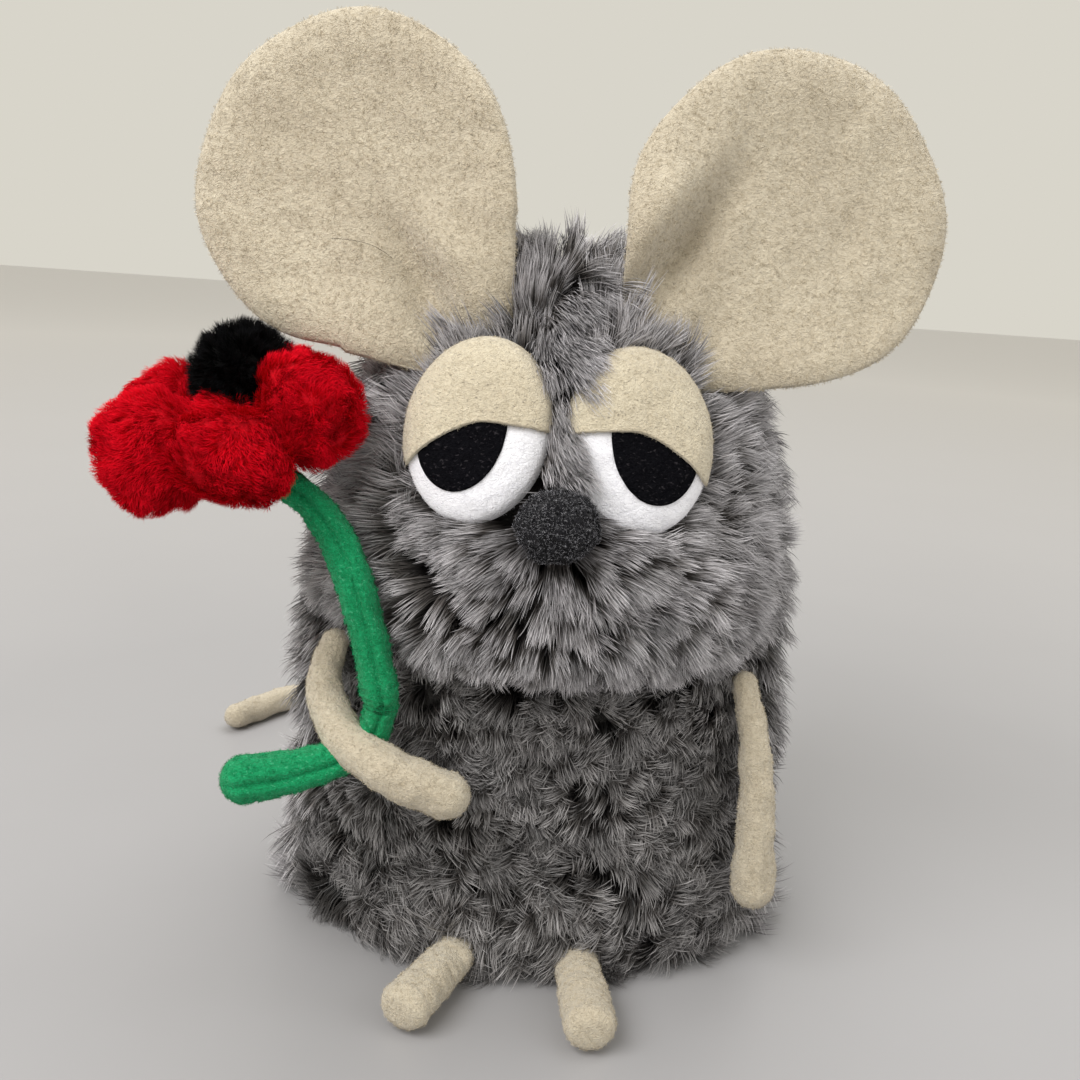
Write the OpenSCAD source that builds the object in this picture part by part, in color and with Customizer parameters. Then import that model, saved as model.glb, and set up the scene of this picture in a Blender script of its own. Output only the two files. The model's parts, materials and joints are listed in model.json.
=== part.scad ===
// Wind-up plush mouse with a felt flower: a stuffed toy round a clockwork musical movement.
// Millimetres. +Z is up, -Y is the front, +X is the mouse's own left.
// The origin is the centre of the flat base, on the surface that the toy stands on.

/* [Body] */
// Height of the head's crown above the base
body_h = 196; // [180:1:205]
// Full width of the body at its widest
body_w = 140; // [132:1:146]
// Full depth of the body at its widest, without the muzzle
body_d = 102; // [98:1:108]
// Height of the widest place
belly_z = 55; // [50:1:60]
// How far the muzzle stands out of the face
muzzle_out = 14; // [10:1:15]
// Thickness of the fur fabric
skin_t = 5; // [4:0.5:6]
// Height of the seam where the face overhangs the tummy
chin_z = 86; // [82:1:90]
// Depth of the side seam, front of the middle
side_seam = 18; // [14:1:22]

/* [Ears, eyes and nose] */
// Radius of the round part of an ear
ear_r = 42; // [38:1:44]
// Thickness of an ear
ear_t = 5; // [4:0.5:6]
// Width of an eye
eye_w = 37; // [34:1:38]
// Height of an eye
eye_h = 46; // [42:1:48]
// Diameter of the nose
nose_d = 18.5; // [16:0.5:20]

/* [Limbs and tail] */
// Radius of an arm at its hand
hand_r = 5.6; // [5:0.1:6]
// Radius of a foot
foot_r = 7; // [6.4:0.1:7.2]
// Radius of the tail
tail_r = 4.5; // [4:0.1:4.8]

/* [Flower] */
// Radius of the flower's stem
stem_r = 4.2; // [3.6:0.1:4.4]
// Radius of a petal's puffy lobe
petal_r = 14.5; // [12:0.5:15]
// Diameter of the flower's black centre
pompom_d = 27; // [22:1:28]

/* [Clockwork] */
// Size of one gear tooth: pitch diameter divided by teeth
gear_m = 0.5; // [0.5]
// Radial clearance of an arbor in its hole
run_gap = 0.05; // [0.02:0.01:0.08]
// Span of the key's wings
key_span = 34; // [28:1:38]
// Number of turns in the mainspring
spring_turns = 5; // [4:1:6]

/* [Hidden] */
$fn = 48;
gap = 0.4;
ear_back = 15;
ear_forward = 35;

// Body shape: the cross-section is an ellipse, and its size follows two rounded profiles.
sides = 44;
top_p = 2;
top_q = 3;
base_dip = 16;
low_p = 3;
low_q = 2.5;
muzzle_z = 118;
muzzle_spread = 36;

// Where the limbs, ears and flower are hinged
shoulder = [55.5, -33, 84];
hip_right = [-18.5, -53.5, 7.3];
hip_left = [15, -54.5, 7.3];
tail_root = [-6, 52.5, 9];
ear_root = [24, -30, 171];
ear_lean = 41;
ear_tilt = 8;
ear_neck = 50;
ear_root_w = 27;
stem_hold = [-40, -59, 80];

// Where the eyes and the nose sit on the face, and how the eyes are turned
eye_at = [20, -48.5, 150.5];
eye_out = 15;
eye_back = 22;
nose_at = [1, -67, 133];

// Clockwork layout: every arbor lies along Y. Places are [x, z].
key_at = [0, 72];
great_t = 60;
cyl_pinion_t = 12;
cyl_wheel_t = 36;
second_pinion_t = 12;
second_wheel_t = 24;
fly_pinion_t = 10;
press_angle = 20;
wheel_add = 0.6;
pinion_add = 0.9;
backlash = 0.06;
dir_cyl = -60;
dir_second = 10;
dir_fly = 80;
cyl_at = step(key_at, dir_cyl, great_t + cyl_pinion_t);
second_at = step(cyl_at, dir_second, cyl_wheel_t + second_pinion_t);
fly_at = step(second_at, dir_fly, second_wheel_t + fly_pinion_t);
great_turn = 0;
cyl_turn = phase(dir_cyl, great_t, cyl_pinion_t, great_turn);
cyl_wheel_turn = 0;
second_turn = phase(dir_second, cyl_wheel_t, second_pinion_t, cyl_wheel_turn);
second_wheel_turn = 0;
fly_turn = phase(dir_fly, second_wheel_t, fly_pinion_t, second_wheel_turn);

// Case and plates
case_lo = [-20, 6, 44];
case_hi = [32, 38, 91];
case_wall = 1.5;
plate_t = 1.2;
plate_front_y = 9;
plate_back_y = 33;
plate_inset = 2;
pillar_in = 6;
arbor_r = 0.8;
key_arbor_r = 2;
barrel_r = 11;
barrel_y = [14.5, 28];
great_y = [30, 32];
cyl_y = [12.6, 27.4];
cyl_r = 6;
cyl_wheel_y = [10.9, 12.3];
second_wheel_y = [28, 29.5];
fly_y = [12.5, 26];
fly_r = 5.4;
arbor_end = 0.4;

// ---- functions ----

// Centre of the next arbor: half the teeth sum times the module, in a direction in degrees.
function step(from, dir, teeth) = from + gear_m * teeth / 2 * [cos(dir), sin(dir)];

// Turn of gear b that puts its teeth in the gaps of gear a, which lies the other way from dir.
function phase(dir, ta, tb, turn_a) =
    dir + 180 - (0.5 - (dir - turn_a) * ta / 360) * 360 / tb;

// Involute function, in degrees
function inv(a) = tan(a) * 180 / PI - a;

// Half the angle that a tooth takes at radius r
function half_tooth(r, pitch, base, teeth) =
    90 / teeth - backlash / 2 / pitch * 180 / PI + inv(press_angle)
    - inv(acos(min(1, base / r)));

// Radii at which a tooth's flank is drawn, from root to tip
function flank_radii(root, base, pitch, tip) =
    [root, max(base, root + 0.05), (max(base, root) + pitch) / 2, pitch, tip];

// Outline of a spur gear
function gear_points(teeth, add, ded) =
    let (pitch = gear_m * teeth / 2, base = pitch * cos(press_angle),
        radii = flank_radii(pitch - ded * gear_m, base, pitch, pitch + add * gear_m),
        last = len(radii) - 1)
    [for (i = [0 : teeth - 1]) each [
        for (k = [0 : last]) polar(radii[k],
            360 * i / teeth - half_tooth(radii[k], pitch, base, teeth)),
        for (k = [0 : last]) polar(radii[last - k],
            360 * i / teeth + half_tooth(radii[last - k], pitch, base, teeth))]];

function polar(r, a) = [r * cos(a), r * sin(a)];

// Share of the full width that the body has at height z, when its crown is at top
function share(z, top) = z > belly_z
    ? pow(max(0, 1 - pow((z - belly_z) / (top - belly_z), top_p)), 1 / top_q)
    : pow(1 - pow((belly_z - z) / (belly_z + base_dip), low_p), 1 / low_q);

// How far the muzzle stands out at height z and angle a, where 270 is straight ahead
function muzzle(z, a) = muzzle_out * exp(-pow((z - muzzle_z) / muzzle_spread, 2))
    * pow(max(0, -sin(a)), 2);

// One level ring of the body, set in by inset, with or without the muzzle
function ring(z, inset, snout) =
    let (k = share(z, body_h - inset))
    [for (i = [0 : sides - 1]) let (a = 360 * i / sides)
        [(body_w / 2 - inset) * k * cos(a),
        ((body_d / 2 - inset) * k + (snout ? muzzle(z, a) : 0)) * sin(a), z]];

// Heights of the body's rings, closer together near the crown
function levels(inset) = [for (i = [0 : 5]) inset + (belly_z - inset) * i / 6,
    for (i = [0 : 15]) belly_z + (body_h - inset - belly_z) * sin(88.5 * i / 15)];

// Point on a smooth curve through four knots
function knot(a, b, c, d, t) = 0.5 * (2 * b + (c - a) * t + (2 * a - 5 * b + 4 * c - d) * t * t
    + (3 * b - a - 3 * c + d) * t * t * t);

// Smooth route through [x, y, z, radius] rows
function smooth(p, n) = let (e = len(p) - 1)
    [for (i = [0 : e - 1]) for (k = [0 : n - 1])
        knot(p[max(i - 1, 0)], p[i], p[i + 1], p[min(i + 2, e)], k / n), p[e]];

function xyz(p) = [p[0], p[1], p[2]];
function unit(v) = v / norm(v);

// Ring of a tube about c, square to t
function hoop(c, t, r, n) = let (u = unit(cross([0, 1, 0.35], t)), v = cross(t, u))
    [for (i = [0 : n - 1]) c + r * (u * cos(360 * i / n) + v * sin(360 * i / n))];

// All rings of a tube with round ends
function hoops(route, n) =
    let (e = len(route) - 1,
        t0 = unit(xyz(route[1]) - xyz(route[0])), t1 = unit(xyz(route[e]) - xyz(route[e - 1])))
    [for (a = [80, 50, 25]) hoop(xyz(route[0]) - t0 * route[0][3] * sin(a), t0,
        route[0][3] * cos(a), n),
    for (i = [0 : e]) hoop(xyz(route[i]),
        unit(xyz(route[min(i + 1, e)]) - xyz(route[max(i - 1, 0)])), route[i][3], n),
    for (a = [25, 50, 80]) hoop(xyz(route[e]) + t1 * route[e][3] * sin(a), t1,
        route[e][3] * cos(a), n)];

// ---- shared shapes ----

// Closed skin over a stack of rings
module loft(rings) {
    n = len(rings[0]);
    top = len(rings) - 1;
    polyhedron(
        points = [for (r = rings) each r],
        faces = [[for (i = [0 : n - 1]) i],
            for (j = [0 : top - 1]) for (i = [0 : n - 1])
                [j * n + i, (j + 1) * n + i, (j + 1) * n + (i + 1) % n, j * n + (i + 1) % n],
            [for (i = [0 : n - 1]) top * n + n - 1 - i]],
        convexity = 6);
}

module tube(points, steps = 6, n = 14) {
    loft(hoops(smooth(points, steps), n));
}

module shape(inset, snout) {
    loft([for (z = levels(inset)) ring(z, inset, snout)]);
}

// Fur fabric all round, before it is cut into panels
module skin(snout) {
    difference() {
        shape(0, snout);
        shape(skin_t, snout);
        translate([0, 0, skin_t / 2]) cube([body_w, body_d, skin_t + 1], center = true);
    }
}

// Space left free round the hinged limbs
module pockets() {
    translate(shoulder) sphere(r = 5.5, $fn = 24);
    for (p = [hip_right, hip_left]) translate(p) sphere(r = foot_r + gap, $fn = 24);
    translate(tail_root) sphere(r = tail_r + gap, $fn = 24);
    for (s = [-1, 1]) ear_hinge(s) {
        cube([34, 7, 7], center = true);
        hull() for (a = [-ear_back, ear_forward]) rotate([a, 0, 0])
            translate([0, 0, 9]) cube([50, ear_t + 2 * gap, 14], center = true);
    }
}

module front_half(z0, z1) {
    translate([-body_w, -body_d, z0]) cube([2 * body_w, body_d - side_seam, z1 - z0]);
}

// Puts children along Y, between two depths, at an [x, z] place
module at_y(place, y0) {
    translate([place[0], y0, place[1]]) rotate([-90, 0, 0]) mirror([0, 1, 0]) children();
}

module arbor_rod(place, r, y0, y1) {
    at_y(place, y0) cylinder(r = r, h = y1 - y0);
}

module spur(place, teeth, add, ded, turn, y0, y1, bore) {
    at_y(place, y0) difference() {
        linear_extrude(y1 - y0) rotate(turn) polygon(gear_points(teeth, add, ded));
        translate([0, 0, -1]) cylinder(r = bore, h = y1 - y0 + 2);
    }
}

module wheel(place, teeth, turn, y0, y1, bore) {
    difference() {
        spur(place, teeth, wheel_add, pinion_add + 0.3, turn, y0, y1, bore);
        r = gear_m * teeth / 2;
        for (i = [0 : 4])
            at_y(place, y0 - 1) rotate(72 * i + 36) translate([r * 0.58, 0])
                cylinder(r = r * 0.2, h = y1 - y0 + 2);
    }
}

module pinion(place, teeth, turn, y0, y1, bore) {
    spur(place, teeth, pinion_add, wheel_add + 0.3, turn, y0, y1, bore);
}

module case_box(inset) {
    translate(case_lo + inset * [1, 1, 1]) cube(case_hi - case_lo - 2 * inset * [1, 1, 1]);
}

function pillar_places() =
    [for (x = [case_lo[0] + pillar_in, case_hi[0] - pillar_in])
        for (z = [case_lo[2] + pillar_in, case_hi[2] - pillar_in]) [x, z]];

// Ear frame: local X along the hinge, local Z from the root to the ear's middle.
// side is -1 for the mouse's right ear and 1 for its left ear.
module ear_hinge(side) {
    translate([side * ear_root[0], ear_root[1], ear_root[2]])
        rotate([0, side * ear_lean, 0]) rotate([-ear_tilt, 0, 0]) children();
}

module ear(side) {
    ear_hinge(side) {
        translate([0, ear_t / 2, 0]) rotate([90, 0, 0]) linear_extrude(ear_t)
            polygon(ear_outline());
        translate([-ear_root_w / 2, 0, 0]) rotate([0, 90, 0])
            cylinder(r = ear_t / 2, h = ear_root_w);
    }
}

// Outline of an ear: an arc, and straight sides from it to the ends of the root
function ear_outline() =
    let (half = ear_root_w / 2, reach = norm([half, ear_neck]),
        low = -atan2(ear_neck, half) + acos(ear_r / reach), n = 56)
    [for (i = [0 : n]) [0, ear_neck] + polar(ear_r, low + (180 - 2 * low) * i / n),
        [-half, 0], [half, 0]];

// Eye frame: local Z out of the face, local Y up
module eye_frame(side) {
    translate([side * eye_at[0], eye_at[1], eye_at[2]])
        rotate([90 - eye_back, 0, side * eye_out]) children();
}

function eye_edge(grow) = [for (i = [0 : 59]) let (a = 360 * i / 60)
    [(eye_w / 2 + grow) * cos(a), (eye_h / 2 + grow) * sin(a)]];

module eye_white(side) {
    color("white") eye_frame(side) linear_extrude(3) polygon(eye_edge(0));
}

// The lid's lower edge slopes down towards the outside of the eye
module lid_side(side) {
    translate([0, 1]) rotate(-side * 7) translate([-40, 0]) square([80, 40]);
}

module eyelid(side) {
    color("wheat") eye_frame(side) translate([0, 0, 3]) linear_extrude(1.8) intersection() {
        polygon(eye_edge(0));
        lid_side(side);
    }
}

module pupil(side) {
    color("black") eye_frame(side) translate([0, 0, 3]) linear_extrude(1)
        difference() {
            translate([-side * 1, -1]) polygon([for (i = [0 : 39]) let (a = 360 * i / 40)
                [11 * cos(a), 16 * sin(a)]]);
            lid_side(side);
        }
}

module foot(place, toe_turn) {
    color("wheat") translate(place) rotate(toe_turn) tube([
        [0, 0, 0, foot_r - 0.6], [0, -9, 0, foot_r - 0.2], [0, -22, 0, foot_r]], 4);
}

// ---- soft parts ----

module face_panel() {
    color("dimgray") difference() {
        intersection() {
            skin(true);
            front_half(chin_z + gap / 2, body_h + 1);
        }
        pockets();
    }
}

module tummy_panel() {
    color("gray") difference() {
        intersection() {
            skin(false);
            front_half(skin_t + gap, chin_z - gap / 2);
        }
        pockets();
    }
}

module back_panel() {
    color("dimgray") difference() {
        skin(true);
        translate([-body_w, -2 * body_d, -1]) cube([2 * body_w, 2 * body_d - side_seam + gap, 300]);
        translate([-body_w, -body_d, -1]) cube([2 * body_w, 2 * body_d, skin_t + gap + 1]);
        pockets();
        at_y(key_at, 30) cylinder(r = 6, h = 40);
    }
}

module base_panel() {
    color("dimgray") linear_extrude(skin_t / 2) polygon([for (i = [0 : 59]) let (a = 6 * i)
        share(skin_t, body_h) * [(body_w / 2 - 3) * cos(a), (body_d / 2 - 3) * sin(a)]]);
}

module stuffing(z0, z1) {
    difference() {
        shape(skin_t + gap, false);
        translate([-body_w, -body_d, z1]) cube([2 * body_w, 2 * body_d, 300]);
        translate([-body_w, -body_d, -1]) cube([2 * body_w, 2 * body_d, z0 + 1]);
        case_box(-gap);
        at_y(key_at, 30) cylinder(r = 8, h = 40);
        for (p = pillar_places()) at_y(p, case_hi[1]) cylinder(r = 2.1 + gap, h = 1.2 + gap);
        pockets();
    }
}

module head_stuffing() {
    color("ivory") stuffing(chin_z + 8, body_h);
}

module body_stuffing() {
    color("ivory") stuffing(24, chin_z + 8 - gap);
}

module pellet_bag() {
    color("lightgray") difference() {
        stuffing(skin_t + gap, 24 - gap);
        translate([-body_w, body_d * 0.36, -1]) cube([2 * body_w, body_d, 60]);
    }
}

module ear_right() {
    color("wheat") ear(-1);
}

module ear_left() {
    color("wheat") ear(1);
}

module eye_white_right() {
    eye_white(-1);
}

module eye_white_left() {
    eye_white(1);
}

module pupil_right() {
    pupil(-1);
}

module pupil_left() {
    pupil(1);
}

module eyelid_right() {
    eyelid(-1);
}

module eyelid_left() {
    eyelid(1);
}

module nose() {
    color("darkslategray") translate(nose_at) sphere(d = nose_d);
}

module arm_right() {
    color("wheat") tube([[-57.5, -37, 86, 4], [-57, -47.5, 78, 4.6], [-46, -61, 70.5, hand_r],
        [-33, -65, 64.5, hand_r], [-22, -64, 60.5, hand_r]]);
}

module arm_left() {
    color("wheat") tube([[shoulder[0], shoulder[1], shoulder[2], 3], [59.8, -38.8, 66, 3.8],
        [61.6, -41.6, 45, 4.6], [62.6, -42.5, 28, 5.4]]);
}

module foot_right() {
    foot(hip_right, -24);
}

module foot_left() {
    foot(hip_left, 7);
}

module tail() {
    color("wheat") tube([[tail_root[0], tail_root[1], tail_root[2], tail_r],
        [-14, 76, 5.6, tail_r], [-36, 108, 5, tail_r], [-68, 126, 5, tail_r],
        [-98, 120, 5, tail_r], [-119, 95, 5, tail_r - 0.3]], 5);
}

// ---- flower ----

module flower_petals() {
    color("red") translate([-80, -47, 147.5]) rotate([-14, -12, 0]) {
        for (i = [0 : 4])
            rotate(72 * i + 20) translate([17.5, 0, -3]) sphere(r = petal_r - 1.5 * (i % 2));
        translate([0, 0, -6]) sphere(r = 13);
    }
}

module flower_centre() {
    color("black") difference() {
        translate([-79.5, -43, 157.5]) sphere(d = pompom_d);
        flower_petals();
    }
}

module stem_upper() {
    color("green") difference() {
        tube([[-72, -47, 135, stem_r], [-62, -48, 132, stem_r], [-53, -50, 120, stem_r],
            [-46, -54, 103, stem_r], [stem_hold[0] - 1.5, -58, 88, stem_r]]);
        flower_petals();
    }
}

module stem_lower() {
    color("green") difference() {
        tube([[stem_hold[0] - 1, -56, 77, stem_r - 0.3], [-46, -57.5, 68, stem_r - 0.2],
            [-60, -62, 63.5, stem_r + 0.3], [-74, -65.2, 61.3, stem_r + 0.8]]);
        arm_right();
    }
}

// ---- winding key and clockwork ----

module key_grommet() {
    color("dimgray") at_y(key_at, 45) difference() {
        union() {
            cylinder(r = 5.8, h = 7);
            translate([0, 0, 6.6]) cylinder(r = 8.5, h = 1.4);
        }
        translate([0, 0, -1]) cylinder(r = 2.6, h = 12);
    }
}

module winding_key() {
    color("goldenrod") {
        at_y(key_at, 54) difference() {
            cylinder(r = 3.6, h = 12);
            translate([0, 0, -1]) cylinder(r = key_arbor_r, h = 6);
        }
        translate([key_at[0], 71, key_at[1]]) for (s = [-1, 1])
            translate([s * key_span / 4, 0, 0]) linear_extrude(2, center = true) difference() {
                circle(d = key_span / 2);
                circle(d = key_span / 4);
            }
        translate([-2.4, 64, key_at[1] - 1]) cube([4.8, 12, 2]);
    }
}

module case_shell(y0, y1) {
    difference() {
        case_box(0);
        case_box(case_wall);
        translate([-100, -100, 0]) cube([200, 100 + y0, 200]);
        translate([-100, y1, 0]) cube([200, 100, 200]);
    }
}

module case_front() {
    color("white") case_shell(0, case_hi[1] - 4);
}

module case_back() {
    color("white") difference() {
        case_shell(case_hi[1] - 4, 100);
        at_y(key_at, 30) cylinder(r = 3, h = 20);
        for (p = pillar_places()) at_y(p, 30) cylinder(r = 1.1, h = 20);
    }
}

module case_screws() {
    color("silver") for (p = pillar_places()) difference() {
        union() {
            at_y(p, plate_back_y + plate_t) cylinder(r = 1.1, h = case_hi[1] - plate_back_y - plate_t);
            at_y(p, case_hi[1]) cylinder(r = 2.1, h = 1.2);
        }
        translate([p[0], case_hi[1] + 1.2, p[1]]) cube([3, 0.9, 0.5], center = true);
    }
}

module plate(y) {
    difference() {
        intersection() {
            case_box(plate_inset);
            translate([-100, y, 0]) cube([200, plate_t, 200]);
        }
        for (p = [cyl_at, second_at, fly_at])
            at_y(p, y - 1) cylinder(r = arbor_r + run_gap, h = plate_t + 2);
        at_y(key_at, y - 1) cylinder(r = key_arbor_r + run_gap, h = plate_t + 2);
        for (p = pillar_places()) at_y(p, y - 1) cylinder(r = 1, h = plate_t + 2);
    }
}

module front_plate() {
    color("goldenrod") plate(plate_front_y);
}

module back_plate() {
    color("goldenrod") plate(plate_back_y);
}

module plate_pillars() {
    color("silver") for (p = pillar_places()) {
        at_y(p, plate_front_y + plate_t) cylinder(r = 1.9, h = plate_back_y - plate_front_y - plate_t);
        at_y(p, plate_front_y) cylinder(r = 1, h = plate_back_y - plate_front_y + plate_t);
        at_y(p, case_lo[1] + case_wall)
            cylinder(r = 1.9, h = plate_front_y - case_lo[1] - case_wall);
    }
}

module spring_barrel() {
    color("silver") at_y(key_at, barrel_y[0]) difference() {
        cylinder(r = barrel_r, h = barrel_y[1] - barrel_y[0]);
        translate([0, 0, 1]) cylinder(r = barrel_r - 0.8, h = barrel_y[1] - barrel_y[0] - 2);
        translate([0, 0, -1]) cylinder(r = key_arbor_r + 0.2, h = 30);
    }
}

// Flat strip wound from the arbor out to the barrel's wall
module mainspring() {
    inner = key_arbor_r + 1;
    outer = barrel_r - 1.4;
    turns = spring_turns;
    strip = 0.35;
    rise = (outer - inner) / turns;
    n = turns * 24;
    color("lightsteelblue") at_y(key_at, barrel_y[0] + 1.6)
        linear_extrude(barrel_y[1] - barrel_y[0] - 3.2)
            polygon([for (i = [0 : n]) polar(inner + rise * i / 24, 15 * i),
                for (i = [n : -1 : 0]) polar(inner + rise * i / 24 + strip, 15 * i)]);
}

module winding_arbor() {
    color("silver") arbor_rod(key_at, key_arbor_r, plate_front_y - 1, 59);
}

module great_wheel() {
    color("goldenrod") wheel(key_at, great_t, great_turn, great_y[0], great_y[1], key_arbor_r);
}

module ratchet_wheel() {
    teeth = 12;
    color("silver") at_y(key_at, plate_back_y + plate_t + 0.3) difference() {
        linear_extrude(1.2) polygon([for (i = [0 : teeth - 1])
            each [polar(5.2, 30 * i), polar(4.1, 30 * i + 2)]]);
        translate([0, 0, -1]) cylinder(r = key_arbor_r, h = 4);
    }
}

// Pawl on its stud, lifted just clear of the ratchet's tips
module click() {
    color("silver") at_y(key_at, plate_back_y + plate_t + 0.3) union() {
        linear_extrude(1.2) polygon([[5.4, 0.2], [6.6, 0.2], [8.6, -8], [6.9, -8.6]]);
        translate([7.8, -8.6, -0.3]) cylinder(r = 1.3, h = 1.7);
    }
}

module cylinder_arbor() {
    color("silver") arbor_rod(cyl_at, arbor_r, plate_front_y - arbor_end,
        plate_back_y + plate_t + arbor_end);
}

module cylinder_pinion() {
    color("goldenrod") pinion(cyl_at, cyl_pinion_t, cyl_turn, great_y[0] - 0.3, great_y[1] + 0.3,
        arbor_r);
}

module cylinder_wheel() {
    color("goldenrod") wheel(cyl_at, cyl_wheel_t, cyl_wheel_turn, cyl_wheel_y[0], cyl_wheel_y[1],
        arbor_r);
}

// Brass cylinder with rows of tune pins
module music_cylinder() {
    color("gold") at_y(cyl_at, cyl_y[0]) difference() {
        union() {
            cylinder(r = cyl_r, h = cyl_y[1] - cyl_y[0]);
            for (row = [0 : 11]) for (k = [0 : 2])
                translate([0, 0, 1.4 + row * 1.1]) rotate(row * 97 + k * 118)
                    rotate([0, 90, 0]) cylinder(r = 0.22, h = cyl_r + 0.5, $fn = 6);
        }
        translate([0, 0, -1]) cylinder(r = arbor_r, h = 20);
    }
}

// Steel comb: a bar, and one tuned tooth for each row of pins
module comb() {
    tip = cyl_at[0] - cyl_r - 0.8;
    color("silver") difference() {
        union() {
            translate([tip - 16, cyl_y[0], cyl_at[1] - 0.5])
                cube([6, cyl_y[1] - cyl_y[0], 1]);
            for (row = [0 : 11])
                translate([tip - 10.5, cyl_y[0] + 1, cyl_at[1] - 0.4]) translate([0, row * 1.1, 0])
                    cube([10.5, 0.8, 0.8]);
        }
        for (y = [3.5, 11.3])
            translate([tip - 13, cyl_y[0] + y, 0]) cylinder(r = 1, h = 200);
    }
    color("gray") translate([tip - 16, cyl_y[0], cyl_at[1] - 4.5]) difference() {
        cube([6, cyl_y[1] - cyl_y[0], 4]);
        for (y = [3.5, 11.3]) translate([3, y, -1]) cylinder(r = 1, h = 20);
    }
}

module comb_screws() {
    tip = cyl_at[0] - cyl_r - 0.8;
    color("silver") for (y = [3.5, 11.3]) translate([tip - 13, cyl_y[0] + y, cyl_at[1]])
        difference() {
            union() {
                translate([0, 0, -4]) cylinder(r = 1, h = 4.5);
                translate([0, 0, 0.5]) cylinder(r = 1.9, h = 1);
            }
            translate([0, 0, 1.5]) cube([4, 0.5, 0.9], center = true);
        }
}

module second_arbor() {
    color("silver") arbor_rod(second_at, arbor_r, plate_front_y - arbor_end,
        plate_back_y + plate_t + arbor_end);
}

module second_pinion() {
    color("goldenrod") pinion(second_at, second_pinion_t, second_turn, cyl_wheel_y[0] - 0.3,
        cyl_wheel_y[1] + 0.3, arbor_r);
}

module second_wheel() {
    color("goldenrod") wheel(second_at, second_wheel_t, second_wheel_turn, second_wheel_y[0],
        second_wheel_y[1], arbor_r);
}

module fly_arbor() {
    color("silver") arbor_rod(fly_at, arbor_r, plate_front_y - arbor_end,
        plate_back_y + plate_t + arbor_end);
}

module fly_pinion() {
    color("goldenrod") pinion(fly_at, fly_pinion_t, fly_turn, second_wheel_y[0] - 0.3,
        second_wheel_y[1] + 0.3, arbor_r);
}

module fly_vane() {
    color("white") at_y(fly_at, fly_y[0]) difference() {
        union() {
            cylinder(r = 1.8, h = fly_y[1] - fly_y[0]);
            translate([-fly_r, -0.4, 0]) cube([2 * fly_r, 0.8, fly_y[1] - fly_y[0]]);
        }
        translate([0, 0, -1]) cylinder(r = arbor_r, h = 30);
    }
}

face_panel();
tummy_panel();
back_panel();
base_panel();
head_stuffing();
body_stuffing();
pellet_bag();
ear_right();
ear_left();
eye_white_right();
eye_white_left();
pupil_right();
pupil_left();
eyelid_right();
eyelid_left();
nose();
arm_right();
arm_left();
foot_right();
foot_left();
tail();
flower_petals();
flower_centre();
stem_upper();
stem_lower();
key_grommet();
winding_key();
case_front();
case_back();
case_screws();
front_plate();
back_plate();
plate_pillars();
spring_barrel();
mainspring();
winding_arbor();
great_wheel();
ratchet_wheel();
click();
cylinder_arbor();
cylinder_pinion();
cylinder_wheel();
music_cylinder();
comb();
comb_screws();
second_arbor();
second_pinion();
second_wheel();
fly_arbor();
fly_pinion();
fly_vane();
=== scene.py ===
"""Wind-up plush mouse holding a felt flower, dressed over its packed clockwork frame.

Lengths in this file are millimetres until a mesh is made, and MM turns them into metres.
"""

import json
import logging
import math
from collections.abc import Callable
from dataclasses import dataclass, field
from enum import Enum

import bpy
import numpy as np
from mathutils import Matrix, Vector


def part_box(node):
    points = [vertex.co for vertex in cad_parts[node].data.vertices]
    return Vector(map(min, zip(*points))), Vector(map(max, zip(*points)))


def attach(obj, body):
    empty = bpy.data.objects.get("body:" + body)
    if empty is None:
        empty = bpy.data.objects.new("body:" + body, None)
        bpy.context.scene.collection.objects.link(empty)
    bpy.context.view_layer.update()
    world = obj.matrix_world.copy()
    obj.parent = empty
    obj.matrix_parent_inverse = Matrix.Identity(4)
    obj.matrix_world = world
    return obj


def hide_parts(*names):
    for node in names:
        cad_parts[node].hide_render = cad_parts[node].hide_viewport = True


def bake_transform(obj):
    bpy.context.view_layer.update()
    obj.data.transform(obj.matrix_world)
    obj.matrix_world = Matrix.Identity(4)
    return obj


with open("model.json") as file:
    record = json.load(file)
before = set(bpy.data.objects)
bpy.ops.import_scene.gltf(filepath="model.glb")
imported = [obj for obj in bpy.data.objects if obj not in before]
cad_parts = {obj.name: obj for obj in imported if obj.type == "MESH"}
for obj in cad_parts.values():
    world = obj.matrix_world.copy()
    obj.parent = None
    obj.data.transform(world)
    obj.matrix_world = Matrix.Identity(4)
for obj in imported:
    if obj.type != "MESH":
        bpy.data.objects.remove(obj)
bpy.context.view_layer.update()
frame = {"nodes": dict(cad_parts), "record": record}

MM = 0.001
STRAND_MAP = "OFBake"
TAPER = 1.6
FIBRES_PER_PIECE = 38000
LOG = logging.getLogger("mouse")
Array = np.ndarray


class Side(Enum):
    """The mouse's own right and left, as the sign of X."""

    RIGHT = -1
    LEFT = 1

    @property
    def word(self) -> str:
        """Lower-case name, as the CAD nodes spell it."""
        return self.name.lower()


# ---------------------------------------------------------------- numbers and shapes


def unit(v: Array) -> Array:
    """Vectors scaled to length one.

    Args:
        v: vectors along the last axis.

    Returns:
        The same directions, with length one.
    """
    return v / np.maximum(np.linalg.norm(v, axis=-1, keepdims=True), 1e-9)


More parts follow.
